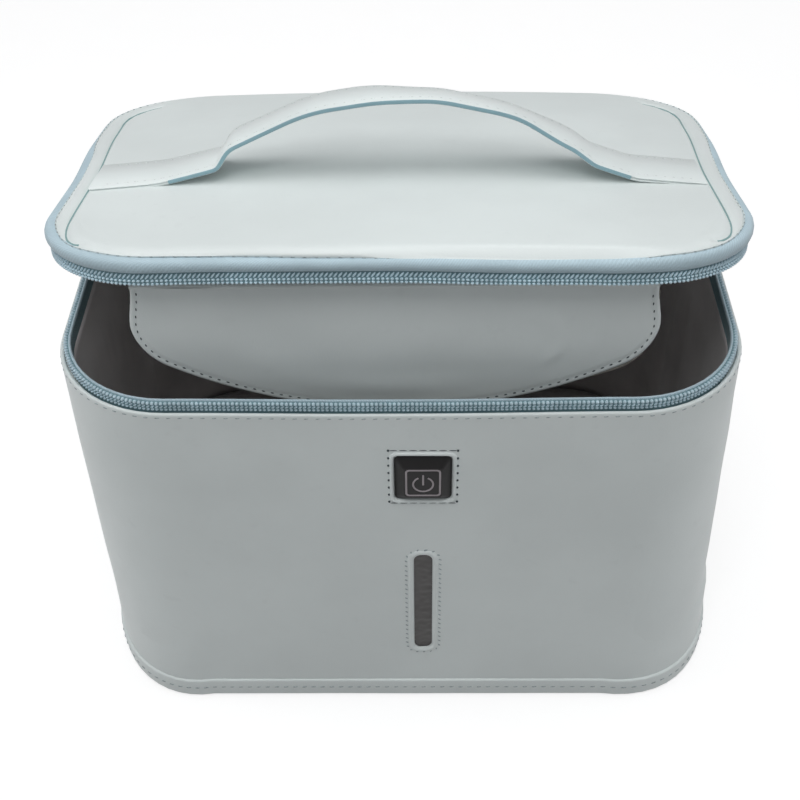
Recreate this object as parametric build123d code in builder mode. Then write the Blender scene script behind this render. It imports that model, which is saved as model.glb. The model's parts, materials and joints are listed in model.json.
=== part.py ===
"""Ultraviolet steriliser bag: a zip-round box of coated fabric with a padded lid, propped open.

Millimetres. +Z is up, the front faces -Y, and the origin is the centre of the base's underside.
The lid's pieces are drawn in the lid's own plane, whose coordinates are those of the closed lid.
"""

from build123d import *
from math import cos, radians, sin
import os

os.makedirs("parts", exist_ok=True)

# Outline of the body, measured over its skin
body_width = 271.0
body_depth = 207.0
corner_radius = 47.0
rim_top = 171.5

# Layers of the walls, from the outside in
skin = 1.2
board = 3.0
tape = 0.6
lining = 0.6
hem_foot = 0.4
hem_height = 8.0
hem_proud = 0.8
turned_edge_round = 0.9
lining_setback = 0.5

# Zip
coil_height = 5.0
coil_inset = 1.8
coil_round = 0.8
coil_above_rim = 2.2
closed_gap = 1.0
tape_depth = 15.5
tape_tail = 4.5
stop_length = 3.0
stop_gap = 0.2

# Hinge gusset at the rear
hinge_side_gap = 5.0
leaf = 0.9
leaf_drop = 21.5
leaf_gap = 0.3
rest_angle = 13.73

# Lid
tape_band = 4.4
tape_band_inset = 0.3
tape_band_round = 1.5
tape_band_gap = 0.2
cover_inset = 2.4
cover_round = 1.3
crown_rise = 3.0
cover_height = 5.1
groove_inset = 12.75
groove_width = 0.9
groove_depth = 0.9
groove_reach = 103.0

# Handle
handle_width = 27.0
handle_setback = 82.5
handle_lower = 1.0
handle_upper = 1.2
handle_end = 121.5
handle_bed = 0.2
handle_lift = 93.0
handle_lift_bend = 40.0
handle_foot = 74.5
handle_foot_rise = 4.4
handle_foot_bend = 9.0
handle_shoulder = 69.0
handle_shoulder_rise = 11.6
handle_shoulder_bend = 14.0
handle_haunch = 40.0
handle_haunch_rise = 25.4
handle_grip = 14.0
handle_grip_rise = 29.2
handle_grip_bend = 110.0

# Button and its housing, in the front wall
button_x = 9.0
button_drop = 31.1
button_width = 21.3
button_height = 22.6
button_corner = 3.6
button_top_width = 14.6
button_top_height = 15.3
button_top_corner = 2.6
button_proud = 3.4
button_travel = 0.8
button_clearance = 0.3
skin_hole_margin = 0.8
bezel = 1.2
flange_margin = 1.55
flange = 0.8
flange_gap = 0.15
housing_width = 30.0
housing_height = 31.0
housing_corner = 3.0
housing_wall = 1.5
housing_depth = 5.6
housing_back = 1.0
housing_fit = 0.2
circuit = 1.0
circuit_gap = 0.15
switch_side = 6.0
switch_height = 1.6
switch_bore_radius = 1.8
switch_bore_spare = 0.2
plunger_radius = 1.6
plunger_entry = 0.3

# Window in the front wall
window_z = 63.3
window_length = 62.4
window_width = 8.3
window_fit = 0.2
window_flange = 2.8
window_plate = 1.4

# Lid switch: a reed sensor in the front wall and a magnet in the lid
sensor_x = 60.0
sensor_drop = 6.5
sensor_length = 14.0
sensor_height = 2.6
sensor_depth = 2.0
sensor_fit = 0.2
magnet_radius = 5.0
magnet_height = 2.0
magnet_setback = 15.5

# Flat lead between the front wall and the hinge
lead_drop = 20.4
lead_width = 6.0
lead_play = 0.05

# Battery pocket and its flap, under the front half of the lid
flap_setback = 15.4
flap_thickness = 2.2
flap_side_gap = 37.7
flap_drop = 60.5
flap_bottom_radius = 210.0
flap_corner = 24.0
flap_skin = 0.7
flap_board_margin = 3.0
flap_clearance = 0.3
pocket_side_gap = 2.8
pocket_depth = 59.0
pocket_height = 10.7
pocket_wall = 2.2
pocket_corner = 6.0
battery_length = 140.0
battery_width = 46.0
battery_height = 9.0
battery_corner = 5.0
battery_round = 2.5
battery_gap = 0.3
strap_width = 22.0
strap = 0.9

# Lamp, under the rear half of the lid
lamp_side_gap = 5.0
lamp_front_gap = 14.2
lamp_rear_gap = 39.5
lamp_height = 8.0
lamp_corner = 8.0
lamp_wall = 1.8
lamp_cover = 1.5
lamp_cover_fit = 0.2
lamp_board = 1.6
lamp_board_fit = 0.4
emitter_side = 3.5
emitter_height = 1.4
emitter_columns = 6
emitter_rows = 2
emitter_pitch_x = 26.0
emitter_pitch_y = 34.0
screw_head_radius = 2.4
screw_head_height = 1.0
screw_shank_radius = 1.1
screw_shank_length = 5.6
screw_inset = 6.0
screw_boss_radius = 3.4
screw_fit = 0.1

# Sliders and pulls
slider_setback = 6.5
slider_length = 10.0
slider_plate = 1.2
slider_gap = 0.3
slider_edge_gap = 0.5
slider_post_length = 3.0
slider_post_gap = 0.2
ear_spacing = 4.8
ear_thickness = 1.2
ear_radius = 1.7
bar_radius = 0.7
pull_axis_out = 1.9
pull_eye_radius = 1.8
pull_eye_gap = 0.25
pull_play = 0.2
pull_width = 8.0
pull_length = 27.0
pull_thickness = 1.2
pull_end_round = 3.0

# Heights and insets that follow
in_board = skin
in_tape = skin + board
in_lining = in_tape + tape
in_room = in_lining + lining
floor_board_top = skin + board
floor_top = floor_board_top + lining
front_y = -body_depth / 2
straight_x = body_width / 2 - corner_radius
straight_y = body_depth / 2 - corner_radius
coil_end = straight_x
tape_end = coil_end - tape_tail
hinge_half = coil_end - hinge_side_gap
lining_top = rim_top - lining_setback
tape_foot = rim_top - tape_depth
leaf_foot = rim_top - leaf_drop
button_z = rim_top - button_drop
sensor_z = rim_top - sensor_drop
lead_z = button_z - lead_drop
coil_low = rim_top + coil_above_rim
coil_top = coil_low + coil_height
hinge_y = body_depth / 2 + leaf
hinge_z = coil_top + closed_gap / 2
lid_coil_low = coil_top + closed_gap
lid_coil_top = lid_coil_low + coil_height
band_low = lid_coil_top + tape_band_gap
band_top = band_low + tape_band
lid_board_low = band_top - board
lid_under = lid_board_low - lining
crown_top = band_top + cover_height
crown_radius = (body_width / 2) ** 2 / (2 * crown_rise)
handle_centre = front_y + handle_setback
magnet_y = front_y + magnet_setback
flap_hinge_y = front_y + flap_setback
flap_half_width = body_width / 2 - flap_side_gap
pocket_half_width = flap_half_width - pocket_side_gap
pocket_front = flap_hinge_y - pocket_wall / 2
pocket_low = lid_under - pocket_height
flap_hinge_z = pocket_low - flap_clearance - flap_thickness / 2
lamp_front = pocket_front + pocket_depth + lamp_front_gap
lamp_rear = body_depth / 2 - lamp_rear_gap
lamp_y = (lamp_front + lamp_rear) / 2
lamp_width = 2 * (pocket_half_width - lamp_side_gap)
lamp_depth = lamp_rear - lamp_front
slider_y = straight_y - slider_setback
switch_bore_depth = plunger_entry + button_travel + switch_bore_spare
housing_low = skin + bezel
housing_rear = housing_low + housing_depth
bump_rear = housing_rear + housing_fit
tall = 400.0

# The closed lid turned open by the rest angle about the hinge
tilt = radians(rest_angle)
lid_shift_y = hinge_y - hinge_y * cos(tilt) - hinge_z * sin(tilt)
lid_shift_z = hinge_z + hinge_y * sin(tilt) - hinge_z * cos(tilt)
lid_plane = Plane(
    origin=(0, lid_shift_y, lid_shift_z),
    x_dir=(1, 0, 0),
    z_dir=(0, sin(tilt), cos(tilt)),
)
flap_pivot = lid_plane.from_local_coords(Vector(0, flap_hinge_y, flap_hinge_z))


def plan(inset, mode=Mode.ADD):
    """The bag's rounded plan, drawn in by an inset."""
    RectangleRounded(body_width - 2 * inset, body_depth - 2 * inset, corner_radius - inset, mode=mode)


def rear_gap(half_width, mode=Mode.SUBTRACT):
    """The rear stretch that the zip leaves to the hinge."""
    with Locations((0, body_depth / 2)):
        Rectangle(2 * half_width, body_depth / 2, mode=mode)


def front_plane(depth, z):
    """A plane in the front wall, at a depth behind its outer face, looking inwards."""
    return Plane(origin=(button_x, front_y + depth, z), x_dir=(1, 0, 0), z_dir=(0, 1, 0))


def housing_plan(margin):
    """The button housing's rounded outline, drawn out by a margin."""
    RectangleRounded(housing_width + 2 * margin, housing_height + 2 * margin, housing_corner + margin)


def window_plan(margin):
    """The window's upright slot, drawn out by a margin."""
    SlotOverall(window_length + 2 * margin, window_width + 2 * margin, rotation=90)


def lid_at(height):
    """A plane across the lid, at a height of the closed lid."""
    return lid_plane.offset(height)


def save(builder, name):
    """Labels a finished piece and writes it."""
    builder.part.label = name
    export_step(builder.part, f"parts/{name}.step")


# Body: skin, with its top edge turned over the board
with BuildPart() as body_shell:
    with BuildSketch(Plane.XY.offset(skin)):
        plan(0)
        plan(skin, Mode.SUBTRACT)
    extrude(amount=rim_top - skin)
    with BuildSketch(Plane.XY.offset(rim_top - skin)):
        plan(skin)
        plan(in_tape, Mode.SUBTRACT)
    extrude(amount=skin)
    top_loop = body_shell.faces().sort_by(Axis.Z)[-1].outer_wire().edges()
    fillet(top_loop, turned_edge_round)
    with BuildSketch(front_plane(0, button_z)):
        RectangleRounded(
            button_width + 2 * skin_hole_margin,
            button_height + 2 * skin_hole_margin,
            button_corner + skin_hole_margin,
        )
    extrude(amount=skin, mode=Mode.SUBTRACT)
    with BuildSketch(front_plane(0, window_z)):
        window_plan(0)
    extrude(amount=skin, mode=Mode.SUBTRACT)
save(body_shell, "body_shell")

# Base: outer panel, hem band and stiffening board
with BuildPart() as base_panel:
    with BuildSketch():
        plan(0)
    extrude(amount=skin)
save(base_panel, "base_panel")

with BuildPart() as base_hem:
    with BuildSketch(Plane.XY.offset(hem_foot)):
        plan(-hem_proud)
        plan(0, Mode.SUBTRACT)
    extrude(amount=hem_height - hem_foot)
    fillet(base_hem.faces().sort_by(Axis.Z)[-1].outer_wire().edges(), hem_proud / 2)
save(base_hem, "base_hem")

with BuildPart() as base_board:
    with BuildSketch(Plane.XY.offset(skin)):
        plan(in_board)
    extrude(amount=board)
save(base_board, "base_board")

# Wall board, cut out for the button's housing, the window and the lid sensor
with BuildPart() as body_board:
    with BuildSketch(Plane.XY.offset(floor_board_top)):
        plan(in_board)
        plan(in_tape, Mode.SUBTRACT)
    extrude(amount=rim_top - skin - floor_board_top)
    with BuildSketch(front_plane(skin, button_z)):
        housing_plan(housing_fit)
    extrude(amount=board, mode=Mode.SUBTRACT)
    with BuildSketch(front_plane(skin, window_z)):
        window_plan(window_flange + window_fit)
    extrude(amount=window_plate, mode=Mode.SUBTRACT)
    with BuildSketch(front_plane(skin, window_z)):
        window_plan(0)
    extrude(amount=board, mode=Mode.SUBTRACT)
    with BuildSketch(front_plane(skin, sensor_z)):
        with Locations((sensor_x - button_x, 0)):
            Rectangle(sensor_length + 2 * sensor_fit, sensor_height + 2 * sensor_fit)
    extrude(amount=sensor_depth + sensor_fit, mode=Mode.SUBTRACT)
save(body_board, "body_board")

# Lining: a cup that bulges over the button's housing and opens behind the window
with BuildPart() as body_lining:
    with BuildSketch(Plane.XY.offset(floor_board_top)):
        plan(in_lining)
    extrude(amount=lining_top - floor_board_top)
    with BuildSketch(Plane.XY.offset(floor_top)):
        plan(in_room)
    extrude(amount=lining_top - floor_top, mode=Mode.SUBTRACT)
    with BuildSketch(front_plane(in_lining, button_z)):
        housing_plan(housing_fit + lining)
    extrude(amount=bump_rear + lining - in_lining)
    with BuildSketch(front_plane(in_lining, button_z)):
        housing_plan(housing_fit)
    extrude(amount=bump_rear - in_lining, mode=Mode.SUBTRACT)
    with BuildSketch(front_plane(in_lining, window_z)):
        window_plan(0)
    extrude(amount=lining, mode=Mode.SUBTRACT)
save(body_lining, "body_lining")

# Body half of the zip
with BuildPart() as body_zip_tape:
    with BuildSketch(Plane.XY.offset(tape_foot)):
        plan(in_tape)
        plan(in_lining, Mode.SUBTRACT)
        rear_gap(tape_end)
    extrude(amount=coil_top - tape_foot)
save(body_zip_tape, "body_zip_tape")

with BuildPart() as body_zip_coil:
    with BuildSketch(Plane.XY.offset(coil_low)):
        plan(coil_inset)
        plan(in_tape, Mode.SUBTRACT)
    extrude(amount=coil_height)
    fillet(body_zip_coil.edges().group_by(Axis.Z)[-1] + body_zip_coil.edges().group_by(Axis.Z)[0], coil_round)
    with BuildSketch(Plane.XY.offset(coil_low)):
        rear_gap(coil_end, Mode.ADD)
    extrude(amount=coil_height, mode=Mode.SUBTRACT)
save(body_zip_coil, "body_zip_coil")

# Stops that close the coil's two ends, on the body and on the lid
stop_x = coil_end - stop_gap - stop_length / 2
stop_y = body_depth / 2 - (coil_inset + in_tape) / 2
for name, level in (("body_zip_stops", Plane.XY.offset(coil_low)), ("lid_zip_stops", lid_at(lid_coil_low))):
    with BuildPart() as zip_stops:
        with BuildSketch(level):
            with Locations((-stop_x, stop_y), (stop_x, stop_y)):
                Rectangle(stop_length, in_tape - coil_inset)
        extrude(amount=coil_height)
    save(zip_stops, name)

# Hinge gusset: a leaf sewn to the body and a leaf sewn to the lid
with BuildPart() as hinge_body_leaf:
    with BuildSketch(Plane.XY.offset(leaf_foot)):
        with Locations((0, body_depth / 2 + leaf / 2)):
            Rectangle(2 * hinge_half, leaf)
    extrude(amount=hinge_z - leaf_gap - leaf_foot)
save(hinge_body_leaf, "hinge_body_leaf")

with BuildPart() as hinge_lid_leaf:
    with BuildSketch(lid_at(hinge_z + leaf_gap)):
        with Locations((0, body_depth / 2 + leaf / 2)):
            Rectangle(2 * hinge_half, leaf)
    extrude(amount=band_top - hinge_z - leaf_gap)
    with BuildSketch(lid_at(band_low)):
        with Locations((0, body_depth / 2 - in_lining / 2)):
            Rectangle(2 * hinge_half, in_lining)
    extrude(amount=tape_band)
save(hinge_lid_leaf, "hinge_lid_leaf")

# Button: a bezel and a housing that stay, and a cap with its plunger that travel
with BuildPart() as button_bezel:
    with BuildSketch(front_plane(skin, button_z)):
        housing_plan(0)
        RectangleRounded(
            button_width + 2 * button_clearance,
            button_height + 2 * button_clearance,
            button_corner + button_clearance,
            mode=Mode.SUBTRACT,
        )
    extrude(amount=bezel)
save(button_bezel, "button_bezel")

with BuildPart() as control_housing:
    with BuildSketch(front_plane(housing_low, button_z)):
        housing_plan(0)
    extrude(amount=housing_depth)
    with BuildSketch(front_plane(housing_low, button_z)):
        RectangleRounded(
            housing_width - 2 * housing_wall,
            housing_height - 2 * housing_wall,
            housing_corner / 2,
        )
    extrude(amount=housing_depth - housing_back, mode=Mode.SUBTRACT)
save(control_housing, "control_housing")

circuit_rear = housing_rear - housing_back - circuit_gap
switch_front = circuit_rear - circuit - switch_height
with BuildPart() as control_board:
    with BuildSketch(front_plane(circuit_rear - circuit, button_z)):
        RectangleRounded(
            housing_width - 2 * (housing_wall + circuit_gap),
            housing_height - 2 * (housing_wall + circuit_gap),
            housing_corner / 2,
        )
        with GridLocations(housing_width - 4 * housing_wall, housing_height - 4 * housing_wall, 2, 2):
            Circle(plunger_radius / 2, mode=Mode.SUBTRACT)
    extrude(amount=circuit)
save(control_board, "control_board")

with BuildPart() as tact_switch:
    with BuildSketch(front_plane(switch_front, button_z)):
        Rectangle(switch_side, switch_side)
    extrude(amount=switch_height)
    with BuildSketch(front_plane(switch_front, button_z)):
        Circle(switch_bore_radius)
    extrude(amount=switch_bore_depth, mode=Mode.SUBTRACT)
save(tact_switch, "tact_switch")

flange_front = housing_low + flange_gap
with BuildPart() as button_cap:
    with BuildSketch(front_plane(flange_front, button_z)):
        RectangleRounded(button_width + 2 * flange_margin, button_height + 2 * flange_margin, button_corner)
    extrude(amount=flange)
    with BuildSketch(front_plane(0, button_z)):
        RectangleRounded(button_width, button_height, button_corner)
    extrude(amount=flange_front)
    with BuildSketch(front_plane(0, button_z)):
        RectangleRounded(button_width, button_height, button_corner)
    with BuildSketch(front_plane(-button_proud, button_z)):
        RectangleRounded(button_top_width, button_top_height, button_top_corner)
    loft()
save(button_cap, "button_cap")

with BuildPart() as switch_plunger:
    with BuildSketch(front_plane(flange_front + flange, button_z)):
        Circle(plunger_radius)
    extrude(amount=switch_front + plunger_entry - flange_front - flange)
save(switch_plunger, "switch_plunger")

# Window lens: a flange behind the skin and a face that fills the skin's slot
with BuildPart() as window_lens:
    with BuildSketch(front_plane(skin, window_z)):
        window_plan(window_flange)
    extrude(amount=window_plate)
    with BuildSketch(front_plane(window_fit, window_z)):
        window_plan(-window_fit)
    extrude(amount=skin - window_fit)
save(window_lens, "window_lens")

# Lid sensor in the wall board, and the flat lead that runs round to the hinge behind the lining
with BuildPart() as lid_sensor:
    with BuildSketch(front_plane(skin, sensor_z)):
        with Locations((sensor_x - button_x, 0)):
            Rectangle(sensor_length, sensor_height)
    extrude(amount=sensor_depth)
    chamfer(lid_sensor.edges().filter_by(Axis.X), sensor_fit)
save(lid_sensor, "lid_sensor")

lead_start = button_x + housing_width / 2 + housing_fit
with BuildPart() as control_lead:
    with BuildSketch(Plane.XY.offset(lead_z)):
        plan(in_tape + lead_play)
        plan(in_lining - lead_play, Mode.SUBTRACT)
        with Locations((lead_start - body_width, -body_depth / 2)):
            Rectangle(2 * body_width, body_depth, mode=Mode.SUBTRACT)
        with Locations((-body_width / 2, body_depth / 2)):
            Rectangle(body_width, body_depth, mode=Mode.SUBTRACT)
    extrude(amount=lead_width)
    with BuildSketch(Plane.XY.offset(lead_z + lead_width)):
        with Locations((lead_width / 2, body_depth / 2 - (in_tape + in_lining) / 2)):
            Rectangle(lead_width, tape - 2 * lead_play)
    extrude(amount=lining_top - lead_z - lead_width)
save(control_lead, "control_lead")

# Lid half of the zip: the coil, and the tape with the band that shows above it
with BuildPart() as lid_zip_coil:
    with BuildSketch(lid_at(lid_coil_low)):
        plan(coil_inset)
        plan(in_tape, Mode.SUBTRACT)
    extrude(amount=coil_height)
    lid_z = Axis(lid_plane.origin, lid_plane.z_dir)
    fillet(lid_zip_coil.edges().group_by(lid_z)[-1] + lid_zip_coil.edges().group_by(lid_z)[0], coil_round)
    with BuildSketch(lid_at(lid_coil_low)):
        rear_gap(coil_end, Mode.ADD)
    extrude(amount=coil_height, mode=Mode.SUBTRACT)
save(lid_zip_coil, "lid_zip_coil")

with BuildPart() as lid_zip_tape:
    with BuildSketch(lid_at(band_low)):
        plan(tape_band_inset)
        plan(in_lining, Mode.SUBTRACT)
    extrude(amount=tape_band)
    band_faces = lid_zip_tape.faces().sort_by(lid_z)
    fillet(band_faces[0].outer_wire().edges() + band_faces[-1].outer_wire().edges(), tape_band_round)
    with BuildSketch(lid_at(lid_coil_low)):
        plan(in_tape)
        plan(in_lining, Mode.SUBTRACT)
    extrude(amount=band_low - lid_coil_low)
    with BuildSketch(lid_at(lid_coil_low)):
        rear_gap(tape_end, Mode.ADD)
    extrude(amount=band_top - lid_coil_low, mode=Mode.SUBTRACT)
save(lid_zip_tape, "lid_zip_tape")

# Lid board with the magnet's pocket, the magnet, and the lining under them
with BuildPart() as lid_board_piece:
    with BuildSketch(lid_at(lid_board_low)):
        plan(in_lining)
    extrude(amount=board)
    with BuildSketch(lid_at(lid_board_low)):
        with Locations((sensor_x, magnet_y)):
            Circle(magnet_radius + sensor_fit)
    extrude(amount=magnet_height + sensor_fit, mode=Mode.SUBTRACT)
save(lid_board_piece, "lid_board")

with BuildPart() as lid_magnet:
    with BuildSketch(lid_at(lid_board_low)):
        with Locations((sensor_x, magnet_y)):
            Circle(magnet_radius)
    extrude(amount=magnet_height)
save(lid_magnet, "lid_magnet")

with BuildPart() as lid_lining:
    with BuildSketch(lid_at(lid_under)):
        plan(in_lining)
    extrude(amount=lining)
save(lid_lining, "lid_lining")

# Padded top: a crowned foam and the skin over it, grooved along both sides
with BuildPart() as lid_foam:
    with BuildSketch(lid_at(band_top)):
        plan(cover_inset + skin)
    extrude(amount=2 * cover_height)
    with Locations(lid_at(crown_top - crown_radius)):
        Sphere(crown_radius - skin, rotation=(90, 0, 0), mode=Mode.INTERSECT)
save(lid_foam, "lid_foam")

with BuildPart() as groove_cutter:
    with BuildSketch(lid_at(band_top)):
        plan(groove_inset - groove_width / 2)
        plan(groove_inset + groove_width / 2, Mode.SUBTRACT)
        Rectangle(2 * groove_reach, body_depth, mode=Mode.SUBTRACT)
    extrude(amount=2 * cover_height)
    with Locations(lid_at(crown_top - crown_radius)):
        Sphere(crown_radius - groove_depth, rotation=(90, 0, 0), mode=Mode.SUBTRACT)

with BuildPart() as lid_cover:
    with BuildSketch(lid_at(band_top)):
        plan(cover_inset)
    extrude(amount=2 * cover_height)
    with Locations(lid_at(crown_top - crown_radius)):
        Sphere(crown_radius, rotation=(90, 0, 0), mode=Mode.INTERSECT)
    fillet(lid_cover.faces().sort_by(lid_z)[-1].outer_wire().edges(), cover_round)
    add(lid_foam.part, mode=Mode.SUBTRACT)
    add(groove_cutter.part, mode=Mode.SUBTRACT)
save(lid_cover, "lid_cover")


def lid_surface(x):
    """Height of the padded top over the lid's middle line."""
    return crown_top - x**2 / (2 * crown_radius)


# Handle: two plies, sewn flat at both ends and arched between them
handle_right = [
    (handle_grip, crown_top + handle_grip_rise),
    (handle_haunch, crown_top + handle_haunch_rise),
    (handle_shoulder, crown_top + handle_shoulder_rise),
    (handle_foot, crown_top + handle_foot_rise),
    (handle_lift, lid_surface(handle_lift) - handle_bed),
    (handle_end, lid_surface(handle_end) - handle_bed),
]
handle_bends = [handle_grip_bend, handle_grip_bend, handle_shoulder_bend, handle_foot_bend, handle_lift_bend]
handle_path = [(-x, z) for x, z in handle_right[::-1]] + handle_right
handle_plane = Plane(
    origin=lid_plane.from_local_coords(Vector(0, handle_centre, 0)), x_dir=(1, 0, 0), z_dir=-lid_plane.y_dir
)


def handle_strip(thickness):
    """The handle's side view, from its underside up to a thickness."""
    with BuildSketch(handle_plane) as strip:
        with BuildLine():
            FilletPolyline(*handle_path, radius=handle_bends[::-1] + handle_bends)
            offset(amount=thickness, side=Side.LEFT)
        make_face()
    return strip.sketch


with BuildPart() as handle_lower_ply:
    extrude(handle_strip(handle_lower), amount=handle_width / 2, both=True)
    with Locations(lid_at(crown_top - crown_radius)):
        Sphere(crown_radius, rotation=(90, 0, 0), mode=Mode.SUBTRACT)
save(handle_lower_ply, "handle_lower_ply")

with BuildPart() as handle_upper_ply:
    extrude(handle_strip(handle_lower + handle_upper), amount=handle_width / 2, both=True)
    extrude(handle_strip(handle_lower), amount=handle_width / 2, both=True, mode=Mode.SUBTRACT)
save(handle_upper_ply, "handle_upper_ply")

# Battery pocket under the front half of the lid, with the battery and the elastic that holds it
pocket_middle = pocket_front + pocket_depth / 2
with BuildPart() as pocket_frame:
    with BuildSketch(lid_at(pocket_low)):
        with Locations((0, pocket_middle)):
            RectangleRounded(2 * pocket_half_width, pocket_depth, pocket_corner)
            RectangleRounded(
                2 * (pocket_half_width - pocket_wall),
                pocket_depth - 2 * pocket_wall,
                pocket_corner - pocket_wall,
                mode=Mode.SUBTRACT,
            )
    extrude(amount=lid_under - pocket_low)
save(pocket_frame, "pocket_frame")

battery_low = lid_under - battery_gap - battery_height
with BuildPart() as battery_pack:
    with BuildSketch(lid_at(battery_low)):
        with Locations((0, pocket_middle)):
            RectangleRounded(battery_length, battery_width, battery_corner)
    extrude(amount=battery_height)
    fillet(battery_pack.edges().group_by(lid_z)[-1] + battery_pack.edges().group_by(lid_z)[0], battery_round)
save(battery_pack, "battery_pack")

with BuildPart() as battery_strap:
    with BuildSketch(lid_at(battery_low - battery_gap - strap)):
        with Locations((0, pocket_middle)):
            Rectangle(strap_width, pocket_depth - 2 * pocket_wall)
    extrude(amount=strap)
save(battery_strap, "battery_strap")

# Flap that hangs from the pocket's front edge: a skin sewn round a board, hung straight down
flap_plane = Plane(origin=flap_pivot, x_dir=(1, 0, 0), z_dir=(0, -1, 0))


def flap_outline(margin):
    """The flap's outline, drawn in by a margin, hung from the pivot."""
    with Locations((0, -flap_drop / 2)):
        Rectangle(2 * (flap_half_width - margin), flap_drop - 2 * margin)
    with Locations((0, flap_bottom_radius - flap_drop)):
        Circle(flap_bottom_radius - margin, mode=Mode.INTERSECT)


with BuildPart() as flap_board_piece:
    with BuildSketch(flap_plane) as flap_board_sketch:
        flap_outline(flap_board_margin)
        fillet(flap_board_sketch.vertices().group_by(Axis.Y)[0], flap_corner - flap_board_margin)
    extrude(amount=flap_thickness / 2 - flap_skin, both=True)
save(flap_board_piece, "flap_board")

with BuildPart() as flap_skin_piece:
    with BuildSketch(flap_plane) as flap_sketch:
        flap_outline(0)
        fillet(flap_sketch.vertices().group_by(Axis.Y)[0], flap_corner)
    extrude(amount=flap_thickness / 2, both=True)
    with Locations(flap_plane):
        Cylinder(flap_thickness / 2, 2 * flap_half_width, rotation=(0, 90, 0))
    add(flap_board_piece.part, mode=Mode.SUBTRACT)
save(flap_skin_piece, "flap_skin")

# Lamp under the rear half of the lid
lamp_low = lid_under - lamp_height
screw_grid_x = lamp_width - 2 * screw_inset
screw_grid_y = lamp_depth - 2 * screw_inset
lamp_board_low = lid_under - lamp_wall - lamp_board
with BuildPart() as lamp_housing:
    with BuildSketch(lid_at(lamp_low)):
        with Locations((0, lamp_y)):
            RectangleRounded(lamp_width, lamp_depth, lamp_corner)
    extrude(amount=lamp_height)
    with BuildSketch(lid_at(lamp_low)):
        with Locations((0, lamp_y)):
            RectangleRounded(lamp_width - 2 * lamp_wall, lamp_depth - 2 * lamp_wall, lamp_corner - lamp_wall)
    extrude(amount=lamp_height - lamp_wall, mode=Mode.SUBTRACT)
    with BuildSketch(lid_at(lamp_low + lamp_cover)):
        with Locations((0, lamp_y)):
            with GridLocations(screw_grid_x, screw_grid_y, 2, 2):
                Circle(screw_boss_radius)
    extrude(amount=lamp_height - lamp_cover - lamp_wall)
    with BuildSketch(lid_at(lamp_low)):
        with Locations((0, lamp_y)):
            with GridLocations(screw_grid_x, screw_grid_y, 2, 2):
                Circle(screw_shank_radius + screw_fit)
    extrude(amount=screw_shank_length + screw_fit, mode=Mode.SUBTRACT)
save(lamp_housing, "lamp_housing")

with BuildPart() as lamp_board_piece:
    with BuildSketch(lid_at(lamp_board_low)):
        with Locations((0, lamp_y)):
            RectangleRounded(
                lamp_width - 2 * (lamp_wall + lamp_board_fit),
                lamp_depth - 2 * (lamp_wall + lamp_board_fit),
                lamp_corner / 2,
            )
            with GridLocations(screw_grid_x, screw_grid_y, 2, 2):
                Circle(screw_boss_radius + lamp_board_fit, mode=Mode.SUBTRACT)
    extrude(amount=lamp_board)
save(lamp_board_piece, "lamp_board")

with BuildPart() as lamp_emitters:
    with BuildSketch(lid_at(lamp_board_low - emitter_height)):
        with Locations((0, lamp_y)):
            with GridLocations(emitter_pitch_x, emitter_pitch_y, emitter_columns, emitter_rows):
                Rectangle(emitter_side, emitter_side)
    extrude(amount=emitter_height)
save(lamp_emitters, "lamp_emitters")

with BuildPart() as lamp_cover_piece:
    with BuildSketch(lid_at(lamp_low)):
        with Locations((0, lamp_y)):
            RectangleRounded(
                lamp_width - 2 * (lamp_wall + lamp_cover_fit),
                lamp_depth - 2 * (lamp_wall + lamp_cover_fit),
                lamp_corner - lamp_wall - lamp_cover_fit,
            )
            with GridLocations(screw_grid_x, screw_grid_y, 2, 2):
                Circle(screw_shank_radius + screw_fit, mode=Mode.SUBTRACT)
    extrude(amount=lamp_cover)
save(lamp_cover_piece, "lamp_cover")

with BuildPart() as lamp_screws:
    with BuildSketch(lid_at(lamp_low - screw_head_height)):
        with Locations((0, lamp_y)):
            with GridLocations(screw_grid_x, screw_grid_y, 2, 2):
                Circle(screw_head_radius)
    extrude(amount=screw_head_height)
    with BuildSketch(lid_at(lamp_low)):
        with Locations((0, lamp_y)):
            with GridLocations(screw_grid_x, screw_grid_y, 2, 2):
                Circle(screw_shank_radius)
    extrude(amount=screw_shank_length)
save(lamp_screws, "lamp_screws")

# Sliders astride the zip on both sides, each with a pull that hangs from its bar
slider_low = rim_top + slider_edge_gap
slider_high = band_low - slider_gap
outer_plate_x = body_width / 2 - coil_inset + slider_gap
inner_plate_x = body_width / 2 - in_lining - slider_gap - slider_plate
pull_axis_x = body_width / 2 + pull_axis_out
pull_axis_z = (slider_low + slider_high) / 2
post_x = (outer_plate_x + inner_plate_x + slider_plate) / 2
post_y = slider_y - (slider_length - slider_post_length) / 2
ear_reach = pull_axis_x - outer_plate_x - slider_plate
tab_length = pull_length - ear_radius - pull_play
tab_middle = -(pull_length + ear_radius + pull_play) / 2 - bar_radius
neck_top = bar_radius + pull_eye_gap
neck_foot = pull_eye_radius + pull_length / 4

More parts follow.
